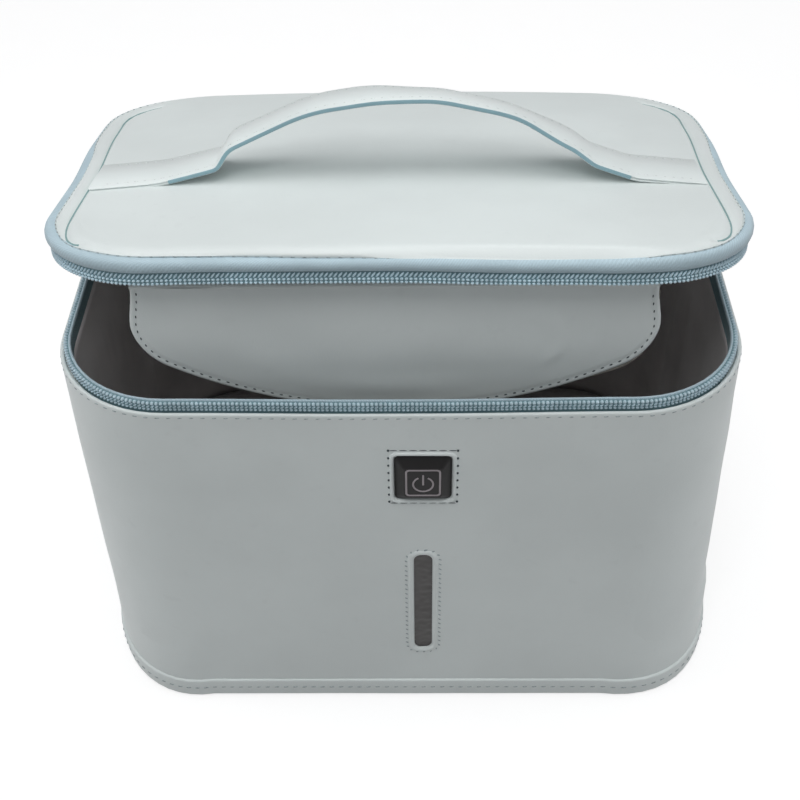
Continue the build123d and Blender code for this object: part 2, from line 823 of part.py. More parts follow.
for side, name in ((-1, "left"), (1, "right")):
    pull_axis = (side * pull_axis_x, slider_y, pull_axis_z)
    pull_axis_plane = Plane(origin=pull_axis, x_dir=(1, 0, 0), z_dir=(0, -1, 0))
    plate_places = [(side * (x + slider_plate / 2), slider_y) for x in (outer_plate_x, inner_plate_x)]
    with BuildPart() as slider:
        with BuildSketch(Plane.XY.offset(slider_low)):
            with Locations(*plate_places):
                Rectangle(slider_plate, slider_length)
        extrude(amount=slider_high - slider_low)
        with BuildSketch(Plane.XY.offset(coil_top + slider_post_gap)):
            with Locations((side * post_x, post_y)):
                Rectangle(outer_plate_x - inner_plate_x, slider_post_length)
        extrude(amount=closed_gap - 2 * slider_post_gap)
        for end in (-1, 1):
            with BuildSketch(pull_axis_plane.offset(end * (ear_spacing + ear_thickness) / 2)):
                Circle(ear_radius)
                with Locations((-side * ear_reach / 2, 0)):
                    Rectangle(ear_reach, 2 * ear_radius)
            extrude(amount=ear_thickness / 2, both=True)
        with BuildSketch(pull_axis_plane):
            Circle(bar_radius)
        extrude(amount=ear_spacing / 2, both=True)
    save(slider, f"slider_{name}")

    with BuildPart() as pull:
        with BuildSketch(pull_axis_plane):
            Circle(pull_eye_radius)
            Circle(neck_top, mode=Mode.SUBTRACT)
        extrude(amount=ear_spacing / 2 - pull_play, both=True)
        with BuildSketch(Plane(origin=pull_axis, x_dir=(0, 1, 0), z_dir=(1, 0, 0))) as tab_sketch:
            with Locations((0, tab_middle)):
                Rectangle(pull_width, tab_length)
            fillet(tab_sketch.vertices().group_by(Axis.Y)[0], pull_end_round)
            with Locations((0, -(neck_top + neck_foot) / 2)):
                Rectangle(ear_spacing - 2 * pull_play, neck_foot - neck_top)
        extrude(amount=pull_thickness / 2, both=True)
    save(pull, f"pull_{name}")
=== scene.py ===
"""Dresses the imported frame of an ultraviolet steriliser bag: coated fabric, zips, lining, handle and stage.

Metres, in the frame's own axes. The lid's pieces are shaped as on the closed lid and then opened with it.
"""

import json
import math

import bmesh
import bpy
from mathutils import Matrix, Vector, noise
from mathutils.bvhtree import BVHTree


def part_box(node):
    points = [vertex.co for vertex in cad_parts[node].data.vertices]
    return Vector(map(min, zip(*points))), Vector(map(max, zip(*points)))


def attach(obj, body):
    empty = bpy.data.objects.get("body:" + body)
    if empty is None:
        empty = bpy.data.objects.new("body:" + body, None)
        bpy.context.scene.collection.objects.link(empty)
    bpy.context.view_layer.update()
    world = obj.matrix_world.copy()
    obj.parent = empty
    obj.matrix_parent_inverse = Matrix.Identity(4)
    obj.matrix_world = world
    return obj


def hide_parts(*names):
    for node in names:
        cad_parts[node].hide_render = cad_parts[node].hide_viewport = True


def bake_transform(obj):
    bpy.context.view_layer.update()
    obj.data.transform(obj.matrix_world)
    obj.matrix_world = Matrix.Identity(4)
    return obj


bl_info = {
    "name": "Steriliser bag",
    "version": (1, 0, 0),
    "blender": (4, 5, 0),
    "location": "3D View > Sidebar > Bag",
    "description": "Makes a zip-round steriliser bag of coated fabric over its packed frame",
    "category": "Add Mesh",
}

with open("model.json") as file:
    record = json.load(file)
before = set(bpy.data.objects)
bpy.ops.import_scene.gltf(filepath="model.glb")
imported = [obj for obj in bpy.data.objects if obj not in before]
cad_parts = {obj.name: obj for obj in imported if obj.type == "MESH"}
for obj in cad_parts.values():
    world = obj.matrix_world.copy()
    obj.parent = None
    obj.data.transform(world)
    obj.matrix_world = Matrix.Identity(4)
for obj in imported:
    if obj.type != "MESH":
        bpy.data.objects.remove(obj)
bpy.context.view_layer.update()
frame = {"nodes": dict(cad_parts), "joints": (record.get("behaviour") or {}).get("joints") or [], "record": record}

MM = 0.001

# The bag's plan and levels, read from the frame
SHELL_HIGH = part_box("body_shell")[1]
HALF_X = SHELL_HIGH.x
HALF_Y = SHELL_HIGH.y
RIM = SHELL_HIGH.z
CORNER = 47 * MM
STRAIGHT_X = HALF_X - CORNER
STRAIGHT_Y = HALF_Y - CORNER
COIL_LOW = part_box("body_zip_coil")[0].z
COIL_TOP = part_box("body_zip_coil")[1].z
COIL_INSET = HALF_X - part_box("body_zip_coil")[1].x
LINING_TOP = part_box("body_lining")[1].z
FRONT = -HALF_Y
BUTTON_LOW, BUTTON_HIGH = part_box("button_cap")
BUTTON_X = (BUTTON_LOW.x + BUTTON_HIGH.x) / 2
BUTTON_Z = (BUTTON_LOW.z + BUTTON_HIGH.z) / 2
SLOT_RISE = 1.4 * MM
BUTTON_AT = (BUTTON_X, BUTTON_Z)
SLOT_AT = (BUTTON_X, sum(corner.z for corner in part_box("window_lens")) / 2 + SLOT_RISE)
BUTTON_HOLE = (11.6 * MM, 12.3 * MM, 2.2 * MM, BUTTON_AT)
SLOT_HOLE = (4.1 * MM, 31.2 * MM, 3.4 * MM, SLOT_AT)
FABRIC_TOP = RIM + 2.5 * MM
FREE_EDGE = COIL_TOP - 0.8 * MM
WALL = 4.2 * MM
TAPE = 0.6 * MM
SKIN = 1.2 * MM
TAPE_END = 84 * MM
COIL_END = STRAIGHT_X - 0.4 * MM
RIGHT, OUT, UP = Vector((1, 0, 0)), Vector((0, -1, 0)), Vector((0, 0, 1))

# The lid: turned open about its hinge from the closed shape
REST_ANGLE = math.radians(13.73)
JOINTS = {joint["name"]: joint for joint in frame["joints"]}
HINGE = Vector(JOINTS["lid_hinge"]["pos_m"])
FLAP_AXIS = Vector(JOINTS["flap_hinge"]["pos_m"])
LID_COIL_LOW = COIL_TOP + 1.0 * MM
LID_COIL_TOP = LID_COIL_LOW + (COIL_TOP - COIL_LOW)
BAND_TOP = LID_COIL_TOP + 4.6 * MM
LID_UNDER = BAND_TOP - 3.6 * MM
CROWN_TOP = BAND_TOP + 5.1 * MM
CROWN_RISE = 3.0 * MM
CROWN_RADIUS = HALF_X**2 / (2 * CROWN_RISE)
COVER_INSET = 2.4 * MM


def srgb(red, green, blue):
    """A colour as it looks on screen, from 0 to 255, made linear."""
    return tuple(((c / 255 + 0.055) / 1.055) ** 2.4 if c > 10 else c / 3295 for c in (red, green, blue)) + (1.0,)


def ease(value, low, high):
    """From 0 at low to 1 at high, smoothly."""
    t = min(max((value - low) / (high - low), 0), 1)
    return t * t * (3 - 2 * t)


def fade(value, low, high):
    """The same as ease(), with both ends in millimetres."""
    return ease(value, low * MM, high * MM)


def wander(point, scale, seed=0.0):
    """Smooth noise from about -1 to 1 that changes over 1 / scale metres."""
    return noise.noise(point * scale + Vector((seed, seed * 1.7, seed * 0.3)))


def opened(part=1):
    """The turn about the hinge that opens the closed lid by a part of its angle at rest."""
    return Matrix.Translation(HINGE) @ Matrix.Rotation(-REST_ANGLE * part, 4, "X") @ Matrix.Translation(-HINGE)


# Shader maths


class Value:
    """A shader socket that can be added and multiplied."""

    def __init__(self, finish, socket):
        self.finish = finish
        self.socket = socket

    def _math(self, operation, other):
        return self.finish.node("Math", {"operation": operation}, {0: self, 1: other})

    def __add__(self, other):
        return self._math("ADD", other)

    def __mul__(self, other):
        return self._math("MULTIPLY", other)

    __radd__ = __add__
    __rmul__ = __mul__

    def ramp(self, low, high):
        """From 0 at low to 1 at high, smoothly."""
        settings = {"interpolation_type": "SMOOTHSTEP"}
        return self.finish.node("MapRange", settings, {"Value": self, "From Min": low, "From Max": high})


class Finish:
    """One material: a Principled shader, with every node made by node()."""

    def __init__(self, name, **constants):
        self.material = bpy.data.materials.new(name)
        self.material.use_nodes = True
        self.tree = self.material.node_tree
        self.shader = self.tree.nodes["Principled BSDF"]
        for socket, value in constants.items():
            self.shader.inputs[socket.replace("_", " ").title().replace("Ior", "IOR")].default_value = value

    def node(self, kind, settings=None, inputs=None, output=0):
        """Makes a node, with its settings first and then the values or links of its sockets."""
        made = self.tree.nodes.new("ShaderNode" + kind)
        for name, value in (settings or {}).items():
            setattr(made, name, value)
        for name, value in (inputs or {}).items():
            if isinstance(value, Value):
                self.tree.links.new(value.socket, made.inputs[name])
            else:
                made.inputs[name].default_value = value
        return Value(self, made.outputs[output])

    def feed(self, socket, value):
        """Links a value to one of the shader's sockets."""
        self.tree.links.new(value.socket, self.shader.inputs[socket])

    def place(self, stretch=(1, 1, 1)):
        """Object coordinates in metres, stretched."""
        return self.node("Mapping", {}, {"Vector": self.node("TexCoord", output="Object"), "Scale": stretch})

    def cloud(self, scale, detail=2.0, where=None):
        """Soft noise from 0 to 1."""
        return self.node("TexNoise", {}, {"Vector": where or self.place(), "Scale": scale, "Detail": detail})

    def bands(self, scale, direction, where=None, distortion=0.0):
        """Even bands along one direction."""
        settings = {"wave_type": "BANDS", "bands_direction": direction}
        return self.node("TexWave", settings, {"Vector": where or self.place(), "Scale": scale, "Distortion": distortion})

    def mix(self, factor, first, second):
        """Between two colours."""
        return self.node("Mix", {"data_type": "RGBA"}, {0: factor, 6: first, 7: second}, output=2)

    def tones(self, factor, colour, dark, light):
        """Between two shades of one colour."""
        return self.mix(factor, shade(colour, dark), shade(colour, light))

    def dress(self, colour, rough, relief, distance, strength):
        """Feeds the colour, the roughness and a relief from 0 to 1 that stands for a distance in metres."""
        self.feed("Base Color", colour)
        self.feed("Roughness", rough)
        bump = {"Height": relief, "Distance": distance, "Strength": strength}
        self.feed("Normal", self.node("Bump", {}, bump, output="Normal"))
        return self.material


def shade(colour, factor):
    """A colour made lighter or darker."""
    return tuple(min(c * factor, 1.0) for c in colour[:3]) + (1.0,)


def coated_fabric(name, colour, rough=0.45):
    """Pale coated fabric: a fine pebble grain, faint mottling and an uneven satin."""
    made = Finish(name, sheen_weight=0.08, sheen_roughness=0.5)
    tone = made.tones(made.cloud(14, 4).ramp(0.3, 0.72), colour, 0.955, 1.03)
    tone = made.mix(made.cloud(160, 2).ramp(0.62, 0.8) * 0.25, tone, shade(colour, 0.9))
    pebbles = made.node("TexVoronoi", {}, {"Vector": made.place(), "Scale": 1500})
    grain = pebbles * 0.7 + made.cloud(620, 3) * 0.5
    return made.dress(tone, made.cloud(45, 3) * 0.16 + (rough - 0.08), grain, 0.00005, 0.7)


def woven_tape(name, colour):
    """Zip tape: a fine twill that follows the tape, with painted shade in the weave's hollows."""
    made = Finish(name, sheen_weight=0.25, sheen_roughness=0.4)
    where = made.node("TexCoord", output="UV")
    weave = made.bands(460, "DIAGONAL", where, 1.5) * 0.6 + made.bands(520, "X", where, 1.0) * 0.4
    tone = made.mix(weave, shade(colour, 0.84), made.tones(made.cloud(60, 3).ramp(0.3, 0.7), colour, 0.92, 1.08))
    return made.dress(tone, made.cloud(300) * 0.15 + 0.62, weave, 0.00012, 0.8)


def moulded(name, colour, rough=0.35, grain=0.25, **constants):
    """Moulded plastic with a fine even texture and soft wear."""
    made = Finish(name, **constants)
    tone = made.tones(made.cloud(90, 3).ramp(0.35, 0.75), colour, 0.9, 1.12)
    return made.dress(tone, made.cloud(220, 3) * 0.14 + (rough - 0.07), made.cloud(2600, 2), 0.00003, grain)


def satin_lining(name, colour):
    """Dark satin lining: a fine upright thread, sheen and soft light and dark."""
    made = Finish(name, sheen_weight=0.3, sheen_roughness=0.35, metallic=0.1)
    thread = made.cloud(60, 2, made.place((60, 60, 5)))
    tone = made.tones(made.cloud(16, 4).ramp(0.3, 0.75), colour, 0.84, 1.17)
    return made.dress(tone, thread * 0.16 + 0.36, thread, 0.00009, 0.5)


def twisted_thread(name, colour):
    """Sewing thread with a fine twist, with painted shade in the twist's grooves."""
    made = Finish(name, sheen_weight=0.2)
    twist = made.bands(420, "DIAGONAL")
    return made.dress(made.tones(twist, colour, 0.7, 1.08), twist * 0.15 + 0.5, twist, 0.0001, 0.6)


def pressed_board(name, colour):
    """Fibre board with flecks."""
    made = Finish(name)
    fibre = made.cloud(420, 4, made.place((1, 1, 3)))
    tone = made.tones(fibre.ramp(0.35, 0.7), colour, 0.75, 1.15)
    return made.dress(tone, fibre * 0.12 + 0.78, fibre, 0.0001, 0.5)


def circuit_board(name, colour):
    """Green circuit board with paler tracks."""
    made = Finish(name, coat_weight=0.3)
    tracks = made.bands(50, "X").ramp(0.86, 0.94) + made.bands(38, "Y").ramp(0.9, 0.96)
    tone = made.tones(tracks.ramp(0.2, 1.0), colour, 1.0, 1.7)
    return made.dress(tone, made.cloud(200) * 0.1 + 0.32, tracks, 0.00005, 0.6)


def brushed_metal(name, colour, rough=0.3, painted=0.0):
    """Metal with fine scratches, or a coat of paint over it."""
    made = Finish(name, metallic=1.0 - painted, coat_weight=0.4 * painted)
    scratch = made.cloud(900, 3, made.place((1, 12, 1)))
    tone = made.tones(scratch.ramp(0.3, 0.8), colour, 0.82, 1.1)
    return made.dress(tone, scratch * 0.18 + (rough - 0.09), scratch, 0.00003, 0.4)


def clear_plastic(name, colour, alpha, rough=0.12):
    """Tinted clear plastic with faint moulding waves."""
    made = Finish(name, alpha=alpha, specular_ior_level=0.6)
    tone = made.tones(made.cloud(60, 2), colour, 0.8, 1.2)
    return made.dress(tone, made.cloud(130, 2) * 0.1 + (rough - 0.05), made.cloud(80, 2), 0.0002, 0.15)


def make_finishes(colours):
    """Every material of the bag, by a plain name."""
    mint = (*colours.coated_fabric, 1.0)
    blue = (*colours.zip_blue, 1.0)
    dark = (*colours.lining, 1.0)
    return {
        "fabric": coated_fabric("Coated fabric", mint),
        "edge": coated_fabric("Cut edge paint", srgb(138, 172, 182), 0.5),
        # A darker ribbon for the lid's side grooves: painted shade in the grooves.
        "groove_shade": coated_fabric("Painted groove shade", srgb(128, 160, 160), 0.6),
        "tape": woven_tape("Zip tape", blue),
        # The tape's inside: a darker copy of the tape's colour, painted shade.
        "shaded_inner_tape": woven_tape("Inner zip tape painted shade", srgb(104, 146, 156)),
        "coil": moulded("Zip coil", shade(blue, 1.04), 0.36, 0.4),
        # The lid's coil: the same coil made lighter, painted light.
        "lid_coil": moulded("Lid zip coil painted lighter", shade(blue, 1.24), 0.36, 0.4),
        # The zip's core, a real part, made darker as painted shade between the teeth and under the coil.
        "coil_core_shade": moulded("Zip core painted shade", srgb(116, 146, 154), 0.6),
        "lining": satin_lining("Satin lining", dark),
        "thread": twisted_thread("Pale thread", shade(mint, 0.97)),
        "grey_thread": twisted_thread("Grey thread", srgb(162, 174, 177)),
        # Dark dots and dashes for needle holes: painted shade in the holes.
        "hole": moulded("Needle hole painted shade", srgb(60, 70, 74), 0.8),
        "black": moulded("Black button", srgb(15, 13, 14), 0.58, 0.5, specular_ior_level=0.36),
        "housing": moulded("Black housing", srgb(38, 38, 41), 0.55, 0.6),
        "mark": moulded("Printed mark", srgb(160, 152, 156), 0.5),
        "smoke": clear_plastic("Smoke window", srgb(50, 47, 46), 0.97, 0.45),
        "circuit": circuit_board("Circuit board", srgb(30, 96, 58)),
        "lamp": moulded("Lamp housing", srgb(226, 228, 230), 0.4),
        "lens": clear_plastic("Lamp cover", srgb(205, 220, 235), 0.32),
        "emitter": moulded("Emitters", srgb(232, 214, 140), 0.22, 0.1, coat_weight=0.8),
        "steel": brushed_metal("Bright steel", srgb(190, 192, 196)),
        "painted": brushed_metal("Painted slider", shade(blue, 1.1), 0.32, 1.0),
        "battery": moulded("Battery case", srgb(72, 76, 82), 0.48, 0.7),
        "elastic": woven_tape("Elastic", srgb(52, 52, 56)),
        "board": pressed_board("Fibre board", srgb(150, 146, 138)),
        "foam": pressed_board("Foam", srgb(238, 234, 224)),
    }


finishes = {}


# Shapes


def put(name, bm):
    """Makes an object of a bmesh, which is used up."""
    mesh = bpy.data.meshes.new(name)
    bm.to_mesh(mesh)
    bm.free()
    made = bpy.data.objects.new(name, mesh)
    bpy.context.scene.collection.objects.link(made)
    return made


def piece(name, bm, finish, body, replaces=(), crease=32, thickness=0.0):
    """Makes a finished piece of a bmesh, riding on a body, and opened with the lid where it rides on that."""
    if body == "lid":
        bm.transform(opened())
    made = put(name, bm)
    made.data.materials.append(finishes[finish])
    made.data.shade_smooth()
    made.data.set_sharp_from_angle(angle=math.radians(crease))
    if thickness:
        wall = made.modifiers.new("Thickness", "SOLIDIFY")
        wall.thickness = thickness
        wall.offset = 0
    if body:
        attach(made, body)
    if replaces:
        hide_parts(*replaces)
    return made


def verts_of(geom):
    """The vertices among what an operator made."""
    return [g for g in geom if isinstance(g, bmesh.types.BMVert)]


def face_out(bm):
    """Turns all faces outwards."""
    bmesh.ops.recalc_face_normals(bm, faces=bm.faces[:])
    return bm


def weld(bm):
    """Joins vertices that meet."""
    bmesh.ops.remove_doubles(bm, verts=bm.verts[:], dist=0.02 * MM)
    return face_out(bm)


def boundary(bm):
    """The edges with a face on one side only."""
    return [edge for edge in bm.edges if edge.is_boundary]


def upright_grid(middle, half_width, half_height, columns, rows):
    """A bmesh of a flat grid that faces the front."""
    bm = bmesh.new()
    size = Matrix.Diagonal((half_width, half_height, 1, 1))
    stood = Matrix.Translation(middle) @ Matrix.Rotation(math.pi / 2, 4, "X") @ size
    bmesh.ops.create_grid(bm, x_segments=columns, y_segments=rows, size=1, matrix=stood)
    return bm


def outward(co):
    """The middle of the plan's corner, or the straight's foot, that a point looks out from, and its way out."""
    foot = Vector((min(max(co.x, -STRAIGHT_X), STRAIGHT_X), min(max(co.y, -STRAIGHT_Y), STRAIGHT_Y), 0))
    way = Vector((co.x - foot.x, co.y - foot.y, 0))
    return foot, way.normalized()


def on_plan(foot, way, inset, z):
    """The point at an inset from the plan's outline, also where the corners have run out."""
    radius = max(CORNER - inset, 0)
    shrink = max(inset - CORNER, 0)
    x = foot.x * (1 - shrink / STRAIGHT_X)
    y = foot.y * (1 - shrink / STRAIGHT_Y)
    return Vector((x, y, z)) + way * radius


def plan_along(distance, inset):
    """The point, way out and way on at a distance round the plan, from the rear right corner round the front."""
    radius = CORNER - inset
    arc = radius * math.pi / 2
    for turn in range(4):
        angle = (1 - turn) * math.pi / 2
        centre = Vector((STRAIGHT_X if turn < 2 else -STRAIGHT_X, STRAIGHT_Y if turn in (0, 3) else -STRAIGHT_Y, 0))
        if distance <= arc:
            way = Vector((math.cos(angle - distance / radius), math.sin(angle - distance / radius), 0))
            return centre + way * radius, way, Vector((way.y, -way.x, 0))
        distance -= arc
        way = Vector((math.cos(angle - math.pi / 2), math.sin(angle - math.pi / 2), 0))
        onward = Vector((way.y, -way.x, 0))
        straight = 2 * (STRAIGHT_Y if turn % 2 == 0 else STRAIGHT_X)
        if distance <= straight:
            return centre + way * radius + onward * distance, way, onward
        distance -= straight
    raise ValueError("the distance is longer than the plan")


def plan_length(inset, rear=True):
    """How far it is round the plan, with or without the rear straight."""
    return 2 * math.pi * (CORNER - inset) + 4 * STRAIGHT_Y + (4 if rear else 2) * STRAIGHT_X


def plan_ring(bm, spacing=4 * MM, steps=14):
    """A closed ring of edges round the plan, in order round it."""
    bmesh.ops.create_grid(bm, x_segments=1, y_segments=1, size=1, matrix=Matrix.Diagonal((HALF_X, HALF_Y, 1, 1)))
    bmesh.ops.bevel(
        bm, geom=bm.verts[:], offset=CORNER, offset_type="OFFSET", segments=steps, profile=0.5, affect="VERTICES",
        material=-1,
    )
    bmesh.ops.delete(bm, geom=bm.faces[:], context="FACES_ONLY")
    for edge in [edge for edge in bm.edges if edge.calc_length() > 2 * spacing]:
        bmesh.ops.subdivide_edges(bm, edges=[edge], cuts=int(edge.calc_length() / spacing))
    return bm.edges[:]


def open_ring(bm, half_width):
    """Cuts the ring's rear straight away, for what ends at the hinge."""
    middle = [e for e in bm.edges if all(v.co.y > HALF_Y - MM and abs(v.co.x) < half_width for v in e.verts)]
    bmesh.ops.delete(bm, geom=middle, context="EDGES")
    loose = [v for v in bm.verts if not v.link_edges]
    bmesh.ops.delete(bm, geom=loose, context="VERTS")
    return bm.edges[:]


def sweep_plan(profile, spacing=4 * MM, closed=True, gap=0.0, relief=None):
    """A bmesh of a profile of (inset, z) points swept round the plan, with a map in metres on it.

    The gap is half of what is left open at the rear, and relief(place) moves each point out.
    """
    bm = bmesh.new()
    edges = plan_ring(bm, spacing)
    if gap:
        edges = open_ring(bm, gap)
    feet = bm.verts.layers.float_vector.new("foot")
    ways = bm.verts.layers.float_vector.new("way")
    across = bm.verts.layers.float.new("across")
    for vert in bm.verts:
        vert[feet], vert[ways] = outward(vert.co)

    def set_out(verts, inset, z, run):
        for vert in verts:
            foot, way = Vector(vert[feet]), Vector(vert[ways])
            vert.co = on_plan(foot, way, inset, z)
            if relief:
                vert.co = on_plan(foot, way, inset - relief(vert.co), z)
            vert[across] = run

    run = 0.0
    set_out(bm.verts, *profile[0], run)
    first = edges
    for last, (inset, z) in zip(profile, profile[1:]):
        run += math.dist(last, (inset, z))
        made = bmesh.ops.extrude_edge_only(bm, edges=edges)["geom"]
        set_out(verts_of(made), inset, z, run)
        fresh = set(verts_of(made))
        edges = [g for g in made if isinstance(g, bmesh.types.BMEdge) and fresh.issuperset(g.verts)]
    if closed:
        bmesh.ops.bridge_loops(bm, edges=first + edges)
        if gap:
            bmesh.ops.holes_fill(bm, edges=boundary(bm), sides=0)
        face_out(bm)
    map_plan(bm, across)
    return bm


def map_plan(bm, across):
    """A map of metres round the plan and across the profile."""
    layer = bm.loops.layers.uv.new("Cloth")
    for face in bm.faces:
        middle = face.calc_center_median()
        near = math.atan2(middle.x, -middle.y)
        for loop in face.loops:
            angle = math.atan2(loop.vert.co.x, -loop.vert.co.y)
            angle += 2 * math.pi * round((near - angle) / (2 * math.pi))
            loop[layer].uv = (angle * (HALF_X + HALF_Y) / 2 * 1.15, loop.vert[across])


def arc(inset, z, radius, start, stop, steps):
    """Points (inset, z) of an arc, with angles in degrees from straight in, turning up."""
    angles = [math.radians(start + (stop - start) * i / steps) for i in range(steps + 1)]
    return [(inset + radius * math.cos(a), z + radius * math.sin(a)) for a in angles]


def basis(origin, along, out, up=None):
    """A matrix from a place and its directions."""
    made = Matrix((along, out, up or along.cross(out))).transposed().to_4x4()
    made.translation = origin
    return made


def join(bm, other, places=(Matrix(),)):
    """Adds another bmesh, which is used up, at every place."""
    mesh = bpy.data.meshes.new("stamp")
    other.to_mesh(mesh)
    other.free()
    for place in places:
        mesh.transform(place)
        bm.from_mesh(mesh)
        mesh.transform(place.inverted())
    bpy.data.meshes.remove(mesh)


def scattered(*sets):
    """A bmesh of rounded grains, from sets of places and the matrix and segments of the grain at each."""
    bm = bmesh.new()
    for places, matrix, around, up in sets:
        grain = bmesh.new()
        bmesh.ops.create_uvsphere(grain, u_segments=around, v_segments=up, radius=1, matrix=matrix)
        join(bm, grain, places)
    return bm


def slanted(along, out, up, slant):
    """A grain's matrix, from its half sizes in millimetres and a slant in degrees."""
    return Matrix.Rotation(math.radians(slant), 4, "Y") @ Matrix.Diagonal((along * MM, out * MM, up * MM, 1))


def stitches(places, length, width, height, slant=0.0):
    """A set for scattered(): thread that dips into the fabric at both ends, in millimetres."""
    return places, slanted(length / 2, height, width / 2, slant), 8, 6


def along_path(points, pitch, start=0.0):
    """Places at even steps along a line of points, with the way on at each."""
    spots = []
    wanted = start
    run = 0.0
    for a, b in zip(points, points[1:]):
        step = (b - a).length
        while step > 0 and wanted <= run + step:
            spots.append((a.lerp(b, (wanted - run) / step), (b - a).normalized()))
            wanted += pitch
        run += step
    return spots


def smooth_line(points, steps=6):
    """A smooth line through the points."""
    line = []
    ends = [2 * points[0] - points[1]] + points + [2 * points[-1] - points[-2]]
    for a, b, c, d in zip(ends, ends[1:], ends[2:], ends[3:]):
        for i in range(steps):
            t = i / steps
            line.append(0.5 * (2 * b + (c - a) * t + (2 * a - 5 * b + 4 * c - d) * t**2 + (3 * b - a - 3 * c + d) * t**3))
    return line + [points[-1]]


def outline(half_width, half_height, radius, middle=(0, 0), steps=6):
    """Points (across, up) round a rounded rectangle, with the first not repeated."""
    points = []
    for turn in range(4):
        x = middle[0] + (half_width - radius) * (1, 1, -1, -1)[turn]
        y = middle[1] + (half_height - radius) * (1, -1, -1, 1)[turn]
        for i in range(steps + 1):
            a = math.pi / 2 * (1 - turn - i / steps)
            points.append((x + radius * math.cos(a), y + radius * math.sin(a)))
    return points


def ring(bm, points):
    """A closed ring of edges through points."""
    verts = [bm.verts.new(point) for point in points]
    return [bm.edges.new(pair) for pair in zip(verts, verts[1:] + verts[:1])]


def loft(bm, rings, closed=False):
    """Skins rings in order, with the last joined to the first or else both ends filled."""
    for a, b in zip(rings, rings[1:] + rings[:closed]):
        bmesh.ops.bridge_loops(bm, edges=a + b)
    if not closed:
        bmesh.ops.holes_fill(bm, edges=rings[0] + rings[-1], sides=0)
    return face_out(bm)


def flat_ring(bm, rim, hole, face_y, depth, rise, rows):
    """A ring on the front wall between two outlines of as many points, rounded towards its hole and its rim."""
    rings = []
    for t in [i / rows for i in range(rows + 1)]:
        y = face_y - rise * math.sin(math.pi * t)
        rings.append(ring(bm, [(a[0] + (b[0] - a[0]) * t, y, a[1] + (b[1] - a[1]) * t) for a, b in zip(rim, hole)]))
    rings += [ring(bm, [(x, face_y + depth, z) for x, z in points]) for points in (hole, rim)]
    return loft(bm, rings, closed=True)


def band(bm, frames, section):
    """Sweeps a section of (side, up) points in millimetres along frames of (origin, side way, up way)."""
    rings = []
    for origin, side, up in frames:
        points = section(origin) if callable(section) else section
        rings.append(ring(bm, [origin + side * (s * MM) + up * (u * MM) for s, u in points]))
    loft(bm, rings)
    layer = bm.loops.layers.uv.verify()
    for face in bm.faces:
        for loop in face.loops:
            loop[layer].uv = loop.vert.co.xy
    return bm


def line_distance(spot, line):
    """How far a point is from a line of points."""
    best = 1.0
    for a, b in zip(line, line[1:]):
        length = (b - a).length_squared
        t = min(max((spot - a).dot(b - a) / length, 0), 1) if length else 0
        best = min(best, (spot - a.lerp(b, t)).length)
    return best


# Forms of the body


def wall_flare(z):
    """How far the fabric wall stands out of its board, more towards the base."""
    return bpy.context.scene.bag_sizes.base_flare * max(1 - z / RIM, 0)


def wall_relief(spot):
    """Soft unevenness of the coated wall, none at its rim and base."""
    soft = fade(spot.z, 4, 26) * fade(RIM - spot.z, 3, 22)
    return soft * (0.45 * wander(spot, 16) + 0.25 * wander(spot, 38, 3)) * MM


def lean(bm):
    """Leans the wall to the right towards the base, with a bulge low on the right, a sagging rim and full foot corners."""
    for vert in bm.verts:
        co = vert.co
        way = outward(co)[1]
        full = 8.4 * MM * abs(way.x * way.y**3) * fade(-co.z, -50, -5)
        co += way * (full if way.y < 0 else 0)
        co.z -= 0.8 * MM * ease(co.z, RIM - 30 * MM, RIM) * fade(-co.y, 70, 92) * fade(-abs(co.x), -88, -12)
        aside = fade(abs(co.x), 62, 124)
        bulge = 1.8 * MM * fade(-co.z, -44, -34) if co.x > 0 else 0
        co.x += aside * (2.8 * MM * max(1 - co.z / RIM, 0) + bulge)
    return bm


def front_face(x, z):
    """Where the front wall's outside is, at a place on it."""
    spot = Vector((x, FRONT - wall_flare(z), z))
    return spot.y - wall_relief(spot)


def wall_places(z, pitch, proud):
    """Places for stitches all round the wall at one height."""
    length = plan_length(-wall_flare(z))
    count = int(length / pitch)
    places = []
    for i in range(count):
        spot, way, onward = plan_along(i * length / count, -wall_flare(z) - proud)
        spot.z = z
        places.append(basis(spot + way * wall_relief(spot), onward, way))
    return places


def taper(co):
    """Brings a point of the lid in a little at the sides, towards the front."""
    co.x *= 1 - 0.02 * fade(-co.y, -32, 24)


def settle(bm):
    """Settles the soft lid's edge: its sides come in towards the front, and the zip droops at the front corners."""
    for vert in bm.verts:
        co = vert.co
        low = fade(BAND_TOP - co.z, 0.3, 4.5)
        edge = fade(-lid_inset(co.x, co.y), -6, -3.5)
        corners = 0.75 * fade(-co.x, 60, 112) + 1.2 * fade(co.x, 60, 105)
        droop = low * corners + 1.1 * edge * fade(co.x, -5, 50) * fade(-co.x, -98, -74)
        co.z -= droop * MM * fade(-co.y, 30, 88)
        taper(co)
    return bm


def pad_edge(spot):
    """How far inside the plan's outline the pad's edge is: further in along the sides, so that the zip tape shows."""
    way = outward(spot)[1]
    sides = (2.4 if spot.x < 0 else 1.7) * ease(abs(way.x), 0.6, 1.0) * fade(-spot.y, -42, -6)
    left = 1.4 * fade(-spot.x, 25, 60) * ease(-way.y, 0.6, 0.95)
    return COVER_INSET + (sides + left) * MM


def draw_in(bm):
    """Draws the pad's edge in, and lets it bulge over the tape at the right of the front."""
    for vert in bm.verts:
        co = vert.co
        way = outward(co)[1]
        inset = lid_inset(co.x, co.y)
        bulge = fade(co.x, -25, 25) * fade(-co.x, -98, -72) * ease(-way.y, 0.5, 0.9)
        bulge *= fade(-inset, -5.5, -2.6)
        co -= way * ((pad_edge(co) - COVER_INSET) * fade(-inset, -10.5, -3.2) - 0.6 * MM * bulge)
        co.z -= 1.2 * MM * bulge
    return bm


